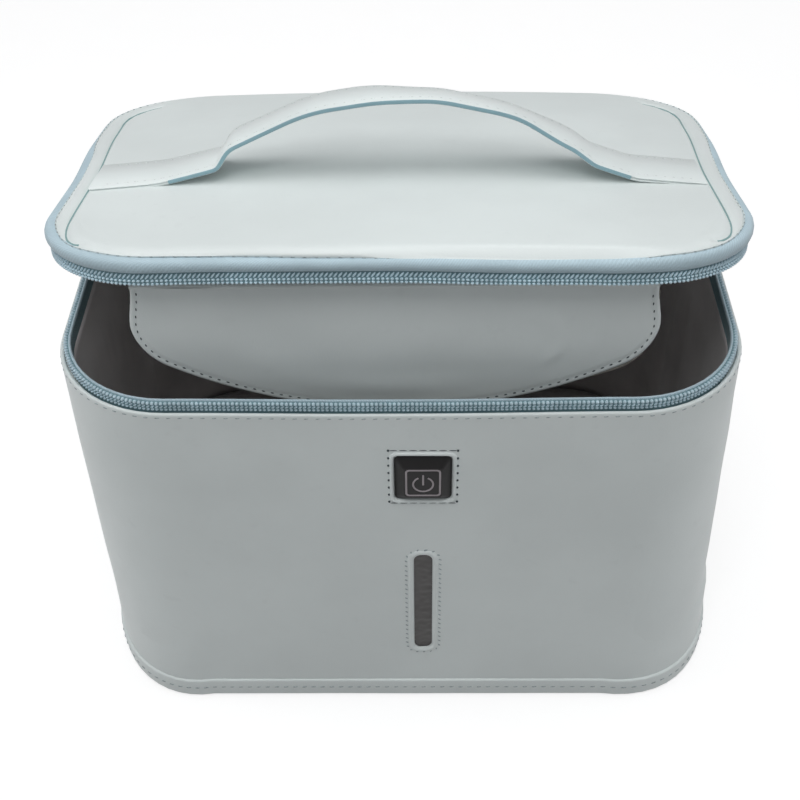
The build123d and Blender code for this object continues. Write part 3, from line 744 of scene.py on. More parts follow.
GROOVE = [Vector((x, y, 0)) * MM for x, y in (
    (-112.5, 80), (-118.5, 74), (-123, 66), (-124.9, 57), (-124.8, 45), (-124.3, 18), (-124.0, -12), (-123.8, -36),
    (-123.8, -57), (-123.5, -70), (-122.6, -78), (-120.8, -83.5), (-117.6, -87.4), (-114.5, -89.2),
)]


def lid_height(x, y, inset):
    """Height of the padded lid over the closed bag: crowned, rolled at its rim, with a groove along both sides."""
    crown = CROWN_TOP - (x * x + y * y) / (2 * CROWN_RADIUS)
    roll = min(max((inset - pad_edge(Vector((x, y, 0)))) / (6.5 * MM), 0), 1)
    drop = 2.5 * MM * (1 - math.sqrt(1 - (1 - roll) ** 2.4))
    spot = Vector((x, y, 0))
    soft = (0.28 * wander(spot, 20, 5) + 0.12 * wander(spot, 60, 9)) * MM * fade(inset, 5, 20)
    away = line_distance(Vector((-abs(x), y, 0)), GROOVE)
    groove = 0.75 * MM * math.exp(-((away / (0.9 * MM)) ** 2))
    puff = 0.35 * MM * math.exp(-(((away - 4 * MM) / (2.6 * MM)) ** 2)) * ease(14 * MM - inset, 0, 3 * MM)
    return crown - drop + soft - groove + puff


def lid_inset(x, y):
    """How far a point lies inside the plan's outline."""
    foot, way = outward(Vector((x, y, 0)))
    if way.length:
        return CORNER - (Vector((x, y, 0)) - foot).length
    return min(HALF_X - abs(x), HALF_Y - abs(y))


def handle_line():
    """The handle's underside as (x, height) points over the closed lid, with each corner rounded."""
    corners = [(-120.5, -3.6), (-94.0, -2.2), (-70.0, 3.8), (-65.3, 11.2), (-34.0, 25.2), (-10.0, 28.7), (16.0, 28.2),
               (44.0, 22.3), (67.5, 10.3), (75.5, 4.4), (92.0, -1.2), (121.5, -4.0)]
    radii = [60, 6, 9, 70, 90, 60, 60, 18, 14, 20]
    knots = [Vector((x, CROWN_TOP / MM + height)) * MM for x, height in corners]
    line = [knots[0]]
    for before, knot, after, radius in zip(knots, knots[1:], knots[2:], radii):
        a, b = (before - knot), (after - knot)
        reach = min(radius * MM * math.tan((math.pi - a.angle(b)) / 2), 0.48 * a.length, 0.48 * b.length)
        start, stop = knot + a.normalized() * reach, knot + b.normalized() * reach
        for i in range(9):
            t = i / 8
            line.append(start * (1 - t) ** 2 + knot * 2 * t * (1 - t) + stop * t**2)
    return line + [knots[-1]]


def handle_frames(step):
    """Frames along the handle's underside: origin, way across the strap and way up from it."""
    points = [Vector((p.x, (-21 - 2.5 * fade(-p.x, 90, 122)) * MM, p.y)) for p in handle_line()]
    frames = []
    for spot, onward in along_path(points, step):
        up = Vector((-onward.z, 0, onward.x)).normalized()
        twist = 0.09 * fade(spot.x, -20, 12) * fade(-spot.x, -64, -44)
        frames.append((spot, -OUT * math.cos(twist) - up * math.sin(twist), up * math.cos(twist) - OUT * math.sin(twist)))
    return frames


def handle_half_width(x):
    """Half the handle's width in millimetres: a little narrower at the grip."""
    return 14.0 - 2.2 * (1 - fade(abs(x), 40, 85))


# Settings


class BagSizes(bpy.types.PropertyGroup):
    """Sizes of the fabric and of the sewing."""

    base_flare: bpy.props.FloatProperty(
        name="Base flare", description="How far the wall stands out at the base", default=0.0033, unit="LENGTH"
    )
    rim_pitch: bpy.props.FloatProperty(
        name="Rim stitch", description="Distance between the rim's stitches", default=0.0043, unit="LENGTH"
    )
    hem_pitch: bpy.props.FloatProperty(
        name="Hem stitch", description="Distance between the hem's stitches", default=0.0042, unit="LENGTH"
    )
    tooth_pitch: bpy.props.FloatProperty(
        name="Zip pitch", description="Distance between the coil's turns", default=0.00168, unit="LENGTH"
    )
    lining_fold: bpy.props.FloatProperty(
        name="Lining fold", description="How deep the lining's soft folds are", default=0.0016, unit="LENGTH"
    )


class BagColours(bpy.types.PropertyGroup):
    """Colours of the fabric, zip and lining."""

    coated_fabric: bpy.props.FloatVectorProperty(
        name="Coated fabric", description="Walls, lid, handle and flap", subtype="COLOR", default=srgb(220, 227, 226)[:3]
    )
    zip_blue: bpy.props.FloatVectorProperty(
        name="Zip", description="Zip tape, coil and sliders", subtype="COLOR", default=srgb(187, 209, 219)[:3]
    )
    lining: bpy.props.FloatVectorProperty(
        name="Lining", description="Satin inside the bag", subtype="COLOR", default=srgb(212, 208, 207)[:3]
    )


# Body


class BAG_OT_finishes(bpy.types.Operator):
    """Makes the materials, and gives the frame's own nodes theirs"""

    bl_idname = "bag.finishes"
    bl_label = "Finishes"

    def execute(self, context):
        finishes.update(make_finishes(context.scene.bag_colours))
        by_slot = {
            "coated_fabric": "fabric", "board": "board", "foam": "foam", "lining": "lining", "zip_tape": "tape",
            "zip_coil": "coil", "zip_metal": "painted", "black_plastic": "black", "housing_plastic": "housing",
            "circuit": "circuit", "smoke_window": "smoke", "lamp_plastic": "lamp", "lamp_window": "lens",
            "emitter": "emitter", "screw_steel": "steel", "magnet_steel": "steel", "battery_case": "battery",
            "elastic": "elastic", "lead": "housing",
        }
        for part in frame["record"]["subparts"]:
            mesh = frame["nodes"][part["node"]].data
            mesh.materials.clear()
            mesh.materials.append(finishes[by_slot[part["material_slot"]]])
        return {"FINISHED"}


class BAG_OT_body_skin(bpy.types.Operator):
    """Makes the coated fabric wall, with its rolled rim and its two openings"""

    bl_idname = "bag.body_skin"
    bl_label = "Body skin"

    def execute(self, context):
        levels = [z * MM for z in (1, 3, 6, 9, *range(13, 166, 4))] + [RIM - 3 * MM]
        roll = 0.85 * MM
        profile = [(-wall_flare(z), z) for z in levels] + [(0, RIM)]
        profile += arc(roll, FABRIC_TOP - roll, roll, 180, 0, 9)
        profile += [(2 * roll, RIM - 0.2 * MM), (WALL, RIM - 0.4 * MM), (WALL, RIM - 6 * MM), (SKIN, RIM - 6 * MM)]
        profile += [(SKIN - wall_flare(z), z) for z in (levels[-1] - 20 * MM, levels[0])]
        skin = piece("body_skin", lean(sweep_plan(profile, relief=wall_relief)), "fabric", None)
        for hole in (BUTTON_HOLE, SLOT_HOLE):
            cutter = bmesh.new()
            face = cutter.faces.new([cutter.verts.new((x, FRONT - 12 * MM, z)) for x, z in outline(*hole)])
            pushed = bmesh.ops.extrude_face_region(cutter, geom=[face])["geom"]
            bmesh.ops.translate(cutter, verts=verts_of(pushed), vec=(0, 15 * MM, 0))
            knife = put("cutter", face_out(cutter))
            cut = skin.modifiers.new("Opening", "BOOLEAN")
            cut.object = knife
            cut.solver = "EXACT"
            context.view_layer.update()
            result = bpy.data.meshes.new_from_object(skin.evaluated_get(context.evaluated_depsgraph_get()))
            skin.modifiers.clear()
            skin.data = result
            bpy.data.objects.remove(knife)
        skin.data.set_sharp_from_angle(angle=math.radians(32))
        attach(skin, "box")
        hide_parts("body_shell")
        return {"FINISHED"}


class BAG_OT_openings(bpy.types.Operator):
    """Makes the turned borders of the button's opening and of the slot, and the slot's strip"""

    bl_idname = "bag.openings"
    bl_label = "Openings"

    def execute(self, context):
        for name, hole, rim in (("button_border", BUTTON_HOLE, 1.7 * MM), ("slot_border", SLOT_HOLE, 2.4 * MM)):
            half_width, half_height, radius, middle = hole
            radius -= 0.2 * MM
            outer = outline(half_width + rim, half_height + rim, radius + 0.6 * rim, middle, 8)
            inner = outline(half_width - 0.25 * MM, half_height - 0.25 * MM, radius, middle, 8)
            bm = flat_ring(bmesh.new(), outer, inner, 0, 1.6 * MM, 0.75 * MM, 6)
            for vert in bm.verts:
                vert.co.y += front_face(vert.co.x, vert.co.z) + 0.05 * MM
            piece(name, bm, "fabric", "box", crease=50)
        bm = upright_grid((SLOT_AT[0], 0, SLOT_AT[1]), 4.6 * MM, 31.6 * MM, 12, 80)
        for vert in bm.verts:
            rough = 0.3 * wander(vert.co, 420) + 0.15 * wander(vert.co, 900, 4)
            vert.co.y = front_face(vert.co.x, vert.co.z) + (0.75 + rough) * MM
        back = bmesh.ops.extrude_face_region(bm, geom=bm.faces[:])["geom"]
        bmesh.ops.translate(bm, verts=verts_of(back), vec=(0, 0.8 * MM, 0))
        piece("slot_strip", face_out(bm), "smoke", "box", ["window_lens"], crease=60)
        return {"FINISHED"}


class BAG_OT_base(bpy.types.Operator):
    """Makes the hem band round the base and the base's own sheet"""

    bl_idname = "bag.base"
    bl_label = "Base"

    def execute(self, context):
        flare = wall_flare(0)
        proud = 0.8 * MM
        top = 11.4 * MM
        profile = [(0.6 * MM - flare, top + 0.3 * MM), *arc(-flare, top - proud, proud, 90, 180, 4)]
        profile += [(-flare - proud - 0.15 * MM, 6.4 * MM), (-flare - proud, 3 * MM)]
        profile += arc(1.2 * MM - flare, 2.2 * MM, 2.0 * MM, 180, 270, 6)
        profile += [(5 * MM - flare, 0.2 * MM), (5 * MM - flare, 1.2 * MM), (1.8 * MM - flare, 1.4 * MM)]
        hem = sweep_plan(profile, relief=lambda spot: 0.15 * MM * wander(spot, 30, 2))
        piece("base_hem_band", lean(hem), "fabric", "box", ["base_hem"])
        rings = [(inset * MM, z * MM) for inset, z in ((2, 1.1), (2, 0.1), (3, 0), (12, 0), (30, 0), (46, 0))]
        bm = sweep_plan(rings, spacing=12 * MM, closed=False)
        bmesh.ops.holes_fill(bm, edges=boundary(bm), sides=0)
        piece("base_sheet", face_out(bm), "fabric", "box", ["base_panel"])
        return {"FINISHED"}


def round_sheet(name, body, inner, edge, z, wave, seeds, replaces=()):
    """Makes a round-cornered sheet of lining with soft waves that lies on a board."""
    rings = [(edge + (HALF_Y - edge) * i / 24, z) for i in range(25)]
    bm = weld(sweep_plan(rings, spacing=5 * MM, closed=False))
    for vert in bm.verts:
        co = vert.co
        co.z += wave * abs(wander(co, *seeds)) * fade(lid_inset(co.x, co.y), 5, 14)
        if body == "lid":
            taper(co)
    made = piece(name, bm, "lining", body, replaces, crease=180, thickness=0.3 * MM)
    half_x, half_y, corner = HALF_X - inner, HALF_Y - inner, CORNER - inner
    area = 4 * half_x * half_y - (4 - math.pi) * corner**2


class BAG_OT_lining(bpy.types.Operator):
    """Makes the satin lining of the wall and floor, with soft upright folds"""

    bl_idname = "bag.lining"
    bl_label = "Lining"

    def execute(self, context):
        fold = context.scene.bag_sizes.lining_fold
        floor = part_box("base_board")[1].z + 0.3 * MM
        inner = WALL + TAPE + 0.3 * MM
        low, high = (corner.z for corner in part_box("control_housing"))

        def relief(spot):
            soft = fade(LINING_TOP - spot.z, 1, 30) * ease(spot.z, floor, floor + 20 * MM)
            around = math.atan2(spot.y, spot.x)
            creases = wander(Vector((around * 9, spot.z * 6, 0)), 1, 4)
            creases += 0.5 * wander(Vector((around * 24, spot.z * 14, 0)), 1, 8)
            beside = fade(abs(spot.x - BUTTON_X), 24, 15.5) if spot.y < 0 else 0
            over = ease(spot.z, low - 9 * MM, low) * ease(spot.z, high + 9 * MM, high)
            return -max(fold * soft * (0.9 + creases), 3.9 * MM * beside * over)

        top = LINING_TOP - floor
        bm = sweep_plan([(inner, floor + top * (1 - i / 42)) for i in range(43)], closed=False, relief=relief)
        wall = piece("lining_wall", bm, "lining", "box", ["body_lining"], crease=180, thickness=0.3 * MM)
        plan_length(inner)
        edge = inner + 0.8 * MM
        round_sheet("lining_floor", "box", inner, edge, floor + 0.3 * MM, 0.5 * MM, (24, 6))
        return {"FINISHED"}


class BAG_OT_wall_sewing(bpy.types.Operator):
    """Sews the rim, the hem and both openings' borders"""

    bl_idname = "bag.wall_sewing"
    bl_label = "Wall sewing"

    def execute(self, context):
        def at_front(x, z, onward):
            return basis(Vector((x, front_face(x, z) - 0.02 * MM, z)), onward, OUT)

        sizes = context.scene.bag_sizes
        rim = stitches(wall_places(RIM + 0.8 * MM, sizes.rim_pitch, -0.05 * MM), 2.0, 0.5, 0.25, 4)
        hem = stitches(wall_places(6.8 * MM, sizes.hem_pitch, 1.0 * MM), 2.5, 0.6, 0.3, 5)
        line = [Vector((x, 0, z)) for x, z in outline(7.1 * MM, 33.8 * MM, 5.8 * MM, SLOT_AT, 8)]
        slot = [at_front(spot.x, spot.z, onward) for spot, onward in along_path(line + line[:1], 3.0 * MM)]
        half_width, half_height, top = 13.4 * MM, 14.0 * MM, BUTTON_Z + 14.9 * MM
        dots, dashes = [], []
        for i in range(8):
            z = top - 2 * half_height * i / 7
            dots += [at_front(BUTTON_X + side * half_width, z, -UP) for side in (-1, 1)]
        for i in range(7):
            x = BUTTON_X + half_width * ((2 * i + 1) / 7 - 1)
            dashes.append(at_front(x, top, RIGHT))
            dashes.append(Matrix.Translation(OUT * 0.62 * MM) @ at_front(x, BUTTON_Z - 13.3 * MM, RIGHT))
        # The button border's dots and dashes are needle holes in the dark hole colour: painted shade.
        hole_shade_marks = scattered(stitches(dots, 1.2, 1.0, 0.35), stitches(dashes, 3.2, 0.36, 0.14))
        for name, bm, finish in (
            ("rim_stitches", lean(scattered(rim)), "grey_thread"),
            ("hem_stitches", lean(scattered(hem)), "grey_thread"),
            ("border_stitches", scattered(stitches(slot, 1.5, 0.6, 0.22, 52)), "grey_thread"),
            ("border_hole_shade", hole_shade_marks, "hole"),
        ):
            piece(name, bm, finish, "box", crease=180)
        return {"FINISHED"}


class BAG_OT_button(bpy.types.Operator):
    """Makes the raised button cap and its printed power sign"""

    bl_idname = "bag.button"
    bl_label = "Button"

    def execute(self, context):
        bm = bmesh.new()
        rows = [(10.65, 11.3, 2.2, 3.3), (10.65, 11.3, 2.2, 0.35), (11.15, 11.85, 2.1, -0.25), (7.65, 8.0, 1.1, -3.2),
                (7.45, 7.8, 1.0, -3.38), (7.2, 7.55, 0.9, -3.4), (0.6, 0.8, 0.3, -3.35)]
        rings = []
        for half_width, half_height, radius, depth in rows:
            points = outline(half_width * MM, half_height * MM, radius * MM, BUTTON_AT)
            rings.append(ring(bm, [(x, FRONT + depth * MM, z) for x, z in points]))
        piece("button_face", loft(bm, rings), "black", "button", ["button_cap"], crease=25)
        face = FRONT - 3.44 * MM
        outer = outline(6.95 * MM, 7.3 * MM, 1.5 * MM, BUTTON_AT)
        inner = outline(6.2 * MM, 6.55 * MM, 1.0 * MM, BUTTON_AT)
        bm = flat_ring(bmesh.new(), outer, inner, face, 0.2 * MM, 0.03 * MM, 2)
        centre = Vector((BUTTON_X, face + 0.08 * MM, BUTTON_Z - 0.8 * MM))
        circle = []
        for i in range(41):
            a = math.radians(28 + 304 * i / 40)
            way = Vector((math.sin(a), 0, math.cos(a)))
            circle.append((centre + way * 3.9 * MM, way, OUT))
        bar = [(centre + UP * h * MM, RIGHT, OUT) for h in (-0.4, 0.0, 4.0, 5.2)]
        flat_bar = ((-0.38, 0.0), (-0.3, 0.12), (0.3, 0.12), (0.38, 0.0), (0.3, -0.1), (-0.3, -0.1))
        for path in (circle, bar):
            join(bm, band(bmesh.new(), path, flat_bar))
        piece("button_sign", bm, "mark", "button", crease=40)
        return {"FINISHED"}


# Zips


def coil(free_edge, side, pitch, rows):
    """The coil, from rows of (distance from its free edge, half sizes along, up and out in mm, slant in degrees)."""
    length = plan_length(COIL_INSET + MM, rear=False)
    count = int(length / pitch)
    sets = []
    for drop, along, tall, deep, slant in rows:
        places = []
        for i in range(count):
            spot, way, onward = plan_along((i + 0.5) * length / count, COIL_INSET + MM)
            spot.z = free_edge - side * drop * MM
            places.append(basis(spot, onward, way, UP * side))
        sets.append((places, slanted(along, deep, tall, slant), 6, 5))
    return scattered(*sets)


class BAG_OT_body_zip(bpy.types.Operator):
    """Makes the body's half of the zip: its tape, its lip and its coil"""

    bl_idname = "bag.body_zip"
    bl_label = "Body zip"

    def execute(self, context):
        lip = FREE_EDGE - 0.9 * MM
        profile = [(WALL + 0.1 * MM, RIM - 6 * MM), (WALL + 0.1 * MM, lip), (WALL + TAPE + 0.2 * MM, lip),
                   (WALL + TAPE + 0.25 * MM, LINING_TOP), (WALL + TAPE, RIM - 8 * MM)]
        # The tape's inside takes the darker copy of the tape: painted shade; the lip keeps the tape's own colour.
        piece("body_tape", lean(sweep_plan(profile, gap=TAPE_END)), "shaded_inner_tape", "box", ["body_zip_tape"])
        profile = arc(WALL + 0.2 * MM, FREE_EDGE - 0.3 * MM, 0.5 * MM, 180, 0, 6)
        profile += [(WALL + 0.8 * MM, lip - 0.3 * MM), (WALL + 0.2 * MM, lip - 0.5 * MM), (WALL - 0.3 * MM, lip)]
        piece("body_tape_lip", lean(sweep_plan(profile, gap=TAPE_END)), "tape", "box")
        # The core fills the gaps between the teeth and the line down to the rim: a real core, darker as painted shade.
        core = [(COIL_INSET + 0.9 * MM, RIM), (COIL_INSET + 0.9 * MM, FREE_EDGE - 0.6 * MM),
                (WALL + 0.05 * MM, FREE_EDGE - 0.5 * MM), (WALL + 0.05 * MM, RIM - 1.5 * MM),
                (WALL - 0.5 * MM, RIM - 0.5 * MM)]
        piece("body_coil_core", lean(sweep_plan(core, gap=COIL_END)), "coil_core_shade", "box")
        rows = ((0.75, 0.72, 0.72, 0.9, 0), (2.2, 0.4, 0.85, 0.9, -50), (3.5, 0.7, 0.5, 0.9, 0))
        bm = coil(FREE_EDGE, 1, context.scene.bag_sizes.tooth_pitch, rows)
        piece("body_coil", lean(bm), "coil", "box", ["body_zip_coil"], crease=180)
        return {"FINISHED"}


class BAG_OT_lid_zip(bpy.types.Operator):
    """Makes the lid's half of the zip: the bulging tape band and its coil"""

    bl_idname = "bag.lid_zip"
    bl_label = "Lid zip"

    def execute(self, context):
        low = LID_COIL_TOP + 0.1 * MM
        outer = [(6.4, 4.5), (5.2, 4.62), (3.4, 4.7), (2.2, 4.6), (1.35, 4.25), (0.75, 3.6), (0.42, 2.7), (0.5, 1.7),
                 (0.9, 0.9), (1.5, 0.25), (2.3, -0.15)]
        profile = [(inset * MM, low + z * MM) for inset, z in outer]
        profile += [(WALL, low - 0.4 * MM), (WALL, LID_COIL_LOW + 0.8 * MM), (WALL + 0.3 * MM, LID_COIL_LOW + 0.4 * MM)]
        profile += [(WALL + TAPE, LID_COIL_LOW + 0.8 * MM), (WALL + TAPE, BAND_TOP - 0.8 * MM)]
        profile += [(6.4 * MM, BAND_TOP - 0.8 * MM)]
        piece("lid_tape", settle(sweep_plan(profile, gap=TAPE_END)), "tape", "lid", ["lid_zip_tape"])
        # The lid's core: a real core, darker as painted shade between the teeth.
        core = [(COIL_INSET + 0.9 * MM, LID_COIL_LOW + 0.5 * MM), (COIL_INSET + 0.9 * MM, LID_COIL_TOP - 0.2 * MM),
                (WALL + 0.05 * MM, LID_COIL_TOP), (WALL + 0.05 * MM, LID_COIL_LOW + 0.3 * MM)]
        piece("lid_coil_core", settle(sweep_plan(core, gap=COIL_END)), "coil_core_shade", "lid")
        rows = ((0.7, 0.66, 0.6, 0.9, 0), (1.95, 0.7, 0.52, 1.0, 0), (3.5, 0.42, 1.3, 0.95, 38))
        bm = coil(LID_COIL_LOW, -1, context.scene.bag_sizes.tooth_pitch, rows)
        # The lid's coil takes the lighter copy of the coil: painted light.
        piece("lid_coil", settle(bm), "lid_coil", "lid", ["lid_zip_coil"], crease=180)
        return {"FINISHED"}


# Lid


class BAG_OT_lid_pad(bpy.types.Operator):
    """Makes the padded lid: a crowned, rolled top with a groove along both sides, its sewing and its lining"""

    bl_idname = "bag.lid_pad"
    bl_label = "Lid pad"

    def execute(self, context):
        insets = [COVER_INSET + d * MM for d in (0.15, 0.5, 1.0, 1.7, 2.6, 3.6, 4.8, 5.9)]
        insets += [(9.4 + 0.55 * i) * MM for i in range(13)]
        insets += [17.5 * MM + (HALF_Y - 17.5 * MM) * i / 24 for i in range(25)]
        profile = [(COVER_INSET + 2 * MM, BAND_TOP), (COVER_INSET + 0.3 * MM, BAND_TOP + 0.1 * MM)]
        profile += [(COVER_INSET, BAND_TOP + 0.7 * MM)] + [(inset, CROWN_TOP) for inset in insets]
        bm = weld(sweep_plan(profile, spacing=2.2 * MM, closed=False))
        bmesh.ops.contextual_create(bm, geom=boundary(bm))
        crowned = {vert: vert.co.z for vert in bm.verts if vert.co.z > CROWN_TOP - 0.01 * MM}
        draw_in(bm)
        for vert, z in crowned.items():
            vert.co.z += lid_height(vert.co.x, vert.co.y, lid_inset(vert.co.x, vert.co.y)) - z
        settle(face_out(bm))
        surface = BVHTree.FromBMesh(bm)
        pad = piece("lid_pad", bm, "fabric", "lid", ["lid_cover", "lid_foam"], crease=60)
        # A darker ribbon laid in each groove: painted shade in the groove.
        bm = bmesh.new()
        for side in (-1, 1):
            line = smooth_line([Vector((-side * spot.x, spot.y, 0)) for spot in GROOVE])
            frames = [(spot, Vector((way.y, -way.x, 0)), UP) for spot, way in along_path(line, 1.5 * MM)]
            band(bm, frames, ((-0.36, -0.3), (-0.3, 0.16), (0, 0.24), (0.3, 0.16), (0.36, -0.3)))
        for vert in bm.verts:
            taper(vert.co)
            above = Vector((vert.co.x, vert.co.y, CROWN_TOP + 20 * MM))
            vert.co.z += surface.ray_cast(above, -UP)[0].z
        piece("lid_groove_shade", bm, "groove_shade", "lid", crease=60)
        inner = WALL + TAPE + 0.4 * MM
        round_sheet("lid_lining_sheet", "lid", inner, inner, LID_UNDER + 0.3 * MM, -0.5 * MM, (26, 7),
                    ["lid_lining"])
        inset, pitch = 2.5 * MM, 4.2 * MM
        places = []
        for i in range(int(plan_length(inset) / pitch)):
            spot, way, onward = plan_along(i * pitch, inset)
            spot.z = BAND_TOP + 0.5 * MM
            places.append(basis(spot, onward, way))
        sewing = settle(draw_in(scattered(stitches(places, 1.6, 0.3, 0.25))))
        piece("lid_edge_stitches", sewing, "grey_thread", "lid", crease=180)
        return {"FINISHED"}


class BAG_OT_handle(bpy.types.Operator):
    """Makes the strap handle: its two plies, painted ribbed edges and sewing"""

    bl_idname = "bag.handle"
    bl_label = "Handle"

    def execute(self, context):
        def ply(low, high):
            def section(origin):
                half = handle_half_width(origin.x)
                soft = min(0.5, (high - low) / 2)
                return [(-half, low + soft), (-half + soft, high), (half - soft, high), (half, low + soft),
                        (half - soft, low), (-half + soft, low)]
            return section

        for name, low, high, node in (
            ("handle_underside", 0.0, 1.0, "handle_lower_ply"), ("handle_top", 1.0, 2.3, "handle_upper_ply"),
        ):
            bm = band(bmesh.new(), handle_frames(2 * MM), ply(low, high))
            piece(name, bm, "fabric", "lid", [node], crease=60)
        bm = bmesh.new()
        for side in (-1, 1):
            ribbed = []
            for i, (origin, across, up) in enumerate(f for f in handle_frames(0.6 * MM) if abs(f[0].x) < 90 * MM):
                out = side * (handle_half_width(origin.x) - 0.4 + 0.16 * (i % 2)) * MM
                ribbed.append((origin + across * out, across * side, up))
            band(bm, ribbed, ((-0.4, 0.1), (-0.4, 1.8), (0.4, 1.65), (0.55, 1.0), (0.4, 0.25)))
        piece("handle_edges", bm, "edge", "lid", crease=50)
        places = []
        for spot, across, up in handle_frames(3.6 * MM)[2:-2]:
            for side in (-1, 1):
                out = side * (handle_half_width(spot.x) - 2.6) * MM
                places.append(basis(spot + up * 2.3 * MM + across * out, across.cross(up), up))
        bm = scattered(stitches(places, 2.0, 0.34, 0.14))
        piece("handle_stitches", bm, "thread", "lid", crease=180)
        return {"FINISHED"}


class BAG_OT_gusset(bpy.types.Operator):
    """Makes the fabric gusset that joins the body and the lid at the rear"""

    bl_idname = "bag.gusset"
    bl_label = "Gusset"

    def execute(self, context):
        half_width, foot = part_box("hinge_body_leaf")[1].x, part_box("hinge_body_leaf")[0].z
        reach = 6 * MM
        high = BAND_TOP + 0.5 * MM
        face = HALF_Y + 0.45 * MM
        bm = upright_grid((0, face, (foot + high) / 2), half_width, (high - foot) / 2, 42, 40)
        for vert in bm.verts:
            turn = opened(ease(vert.co.z, HINGE.z - reach, HINGE.z + reach))
            tucked = 3.6 * MM * ease(vert.co.z, high - 3 * MM, high + 1 * MM)
            vert.co.y += 0.25 * MM * wander(vert.co, 45, 2) - tucked
            vert.co = turn @ vert.co
        made = piece("hinge_gusset", face_out(bm), "fabric", None, crease=180, thickness=0.9 * MM)
        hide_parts("hinge_body_leaf", "hinge_lid_leaf")
        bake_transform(made)
        side, low, top = half_width - 2.4 * MM, foot + 2.4 * MM, HINGE.z - reach
        line = [Vector((x, face, z)) for x, z in ((-side, top), (-side, low), (side, low), (side, top))]
        places = []
        for spot, onward in along_path(line, 3.8 * MM, 1 * MM):
            spot.y += 0.25 * MM * wander(spot, 45, 2) + 0.47 * MM
            places.append(basis(spot, onward, -OUT))
        bm = scattered(stitches(places, 2.2, 0.5, 0.22, 8))
        piece("gusset_stitches", bm, "grey_thread", "box", crease=180)
        return {"FINISHED"}


# Flap and pocket


def flap_bottom(x):
    """Height of the flap's bottom edge from its axis, at a distance from the middle."""
    radius, corner, drop = 175 * MM, 24 * MM, 60.5 * MM
    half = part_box("flap_skin")[1].x
    centre_x = half - corner
    centre_z = -drop + radius - math.sqrt((radius - corner) ** 2 - centre_x**2)
    touch = centre_x * radius / (radius - corner)
    if abs(x) <= touch:
        return -drop + radius - math.sqrt(radius**2 - x * x)
    return centre_z - math.sqrt(max(corner**2 - (abs(x) - centre_x) ** 2, 0))


def flap_crease(spot):
    """Two soft dents in the flap: a short arc on the right and a hollow below the middle."""
    x, z = spot.x / MM, spot.z / MM
    arc_away = abs(math.hypot(x - 46, z + 26) - 15)
    dent = 0.85 * math.exp(-((arc_away / 1.5) ** 2)) * ease(x, 50, 58) * ease(-z, 10, 16) * ease(z, -40, -32)
    return dent + 0.9 * math.exp(-((math.hypot((x + 2) / 26, (z + 50) / 7)) ** 2))


def hang(co):
    """Hangs a point of the flap from its axis: a little left of the middle, and narrower at the top."""
    spread = 0.978 + 0.026 * ease(-co.z, 0, 20 * MM)
    return FLAP_AXIS + Vector((co.x * spread - 1.4 * MM, co.y, co.z))


class BAG_OT_flap(bpy.types.Operator):
    """Makes the pocket's hanging flap, with a rolled hem, a rounded edge and sewing"""

    bl_idname = "bag.flap"
    bl_label = "Flap"

    def execute(self, context):
        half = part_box("flap_skin")[1].x
        thick = 1.05 * MM
        xs = [half * math.sin(math.pi / 2 * (i / 60 - 1)) for i in range(121)]
        border = [Vector((-half, 0, 0)), *(Vector((x, 0, flap_bottom(x))) for x in xs), Vector((half, 0, 0))]
        bm = bmesh.new()
        for side in (-1, 1):
            sheet = bmesh.new()
            bmesh.ops.create_grid(sheet, x_segments=96, y_segments=30, size=1)
            for vert in sheet.verts:
                x = half * math.sin(vert.co.x * math.pi / 2)
                down = 1 - (1 - (1 - vert.co.y) / 2) ** 1.5
                spot = Vector((x, 0, flap_bottom(x) * down))
                near = line_distance(spot, border)
                swell = math.sqrt(max(1 - (1 - min(near / (1.6 * MM), 1)) ** 2, 0))
                groove = 0.28 * MM * math.exp(-(((near - 2.6 * MM) / (0.7 * MM)) ** 2))
                wave = 0.8 * wander(spot, 22, 2) + 0.35 * wander(spot, 60, 5) - flap_crease(spot)
                wave *= fade(near, 3, 16) * MM
                vert.co = spot
                vert.co.y = side * (thick * swell - groove) + (wave if side < 0 else wave * 0.6)
            join(bm, sheet)
        weld(bm)
        hem = [(Vector((x, 0, 0)), -OUT, UP) for x in (-half, -half + 0.5 * MM, 0, half - 0.5 * MM, half)]
        band(bm, hem, [(1.1 * math.cos(a * math.pi / 7), 1.1 * math.sin(a * math.pi / 7)) for a in range(14)])
        for vert in bm.verts:
            vert.co = hang(vert.co)
        flap = piece("flap_panel", bm, "fabric", "flap", ["flap_skin"], crease=60)
        inner = []
        for a, b, c in zip(border, border[1:], border[2:]):
            way = (c - a).normalized()
            spot = b + Vector((-way.z, 0, way.x)) * 2.4 * MM
            if spot.z < -3 * MM and abs(spot.x) < half - 2.3 * MM:
                inner.append(spot)
        start, stop = (Vector((side * (half - 2.4 * MM), 0, -2 * MM)) for side in (-1, 1))
        places = []
        for spot, onward in along_path([start, *inner, stop], 3.5 * MM, 1 * MM):
            for side in (-1, 1):
                places.append(basis(hang(spot + Vector((0, side * 0.92 * MM, 0))), onward, -OUT * side))
        bm = scattered(stitches(places, 1.35, 0.45, 0.26))
        # The flap's stitches take the needle holes' dark colour: painted shade.
        piece("flap_stitches", bm, "hole", "flap", crease=180)
        return {"FINISHED"}


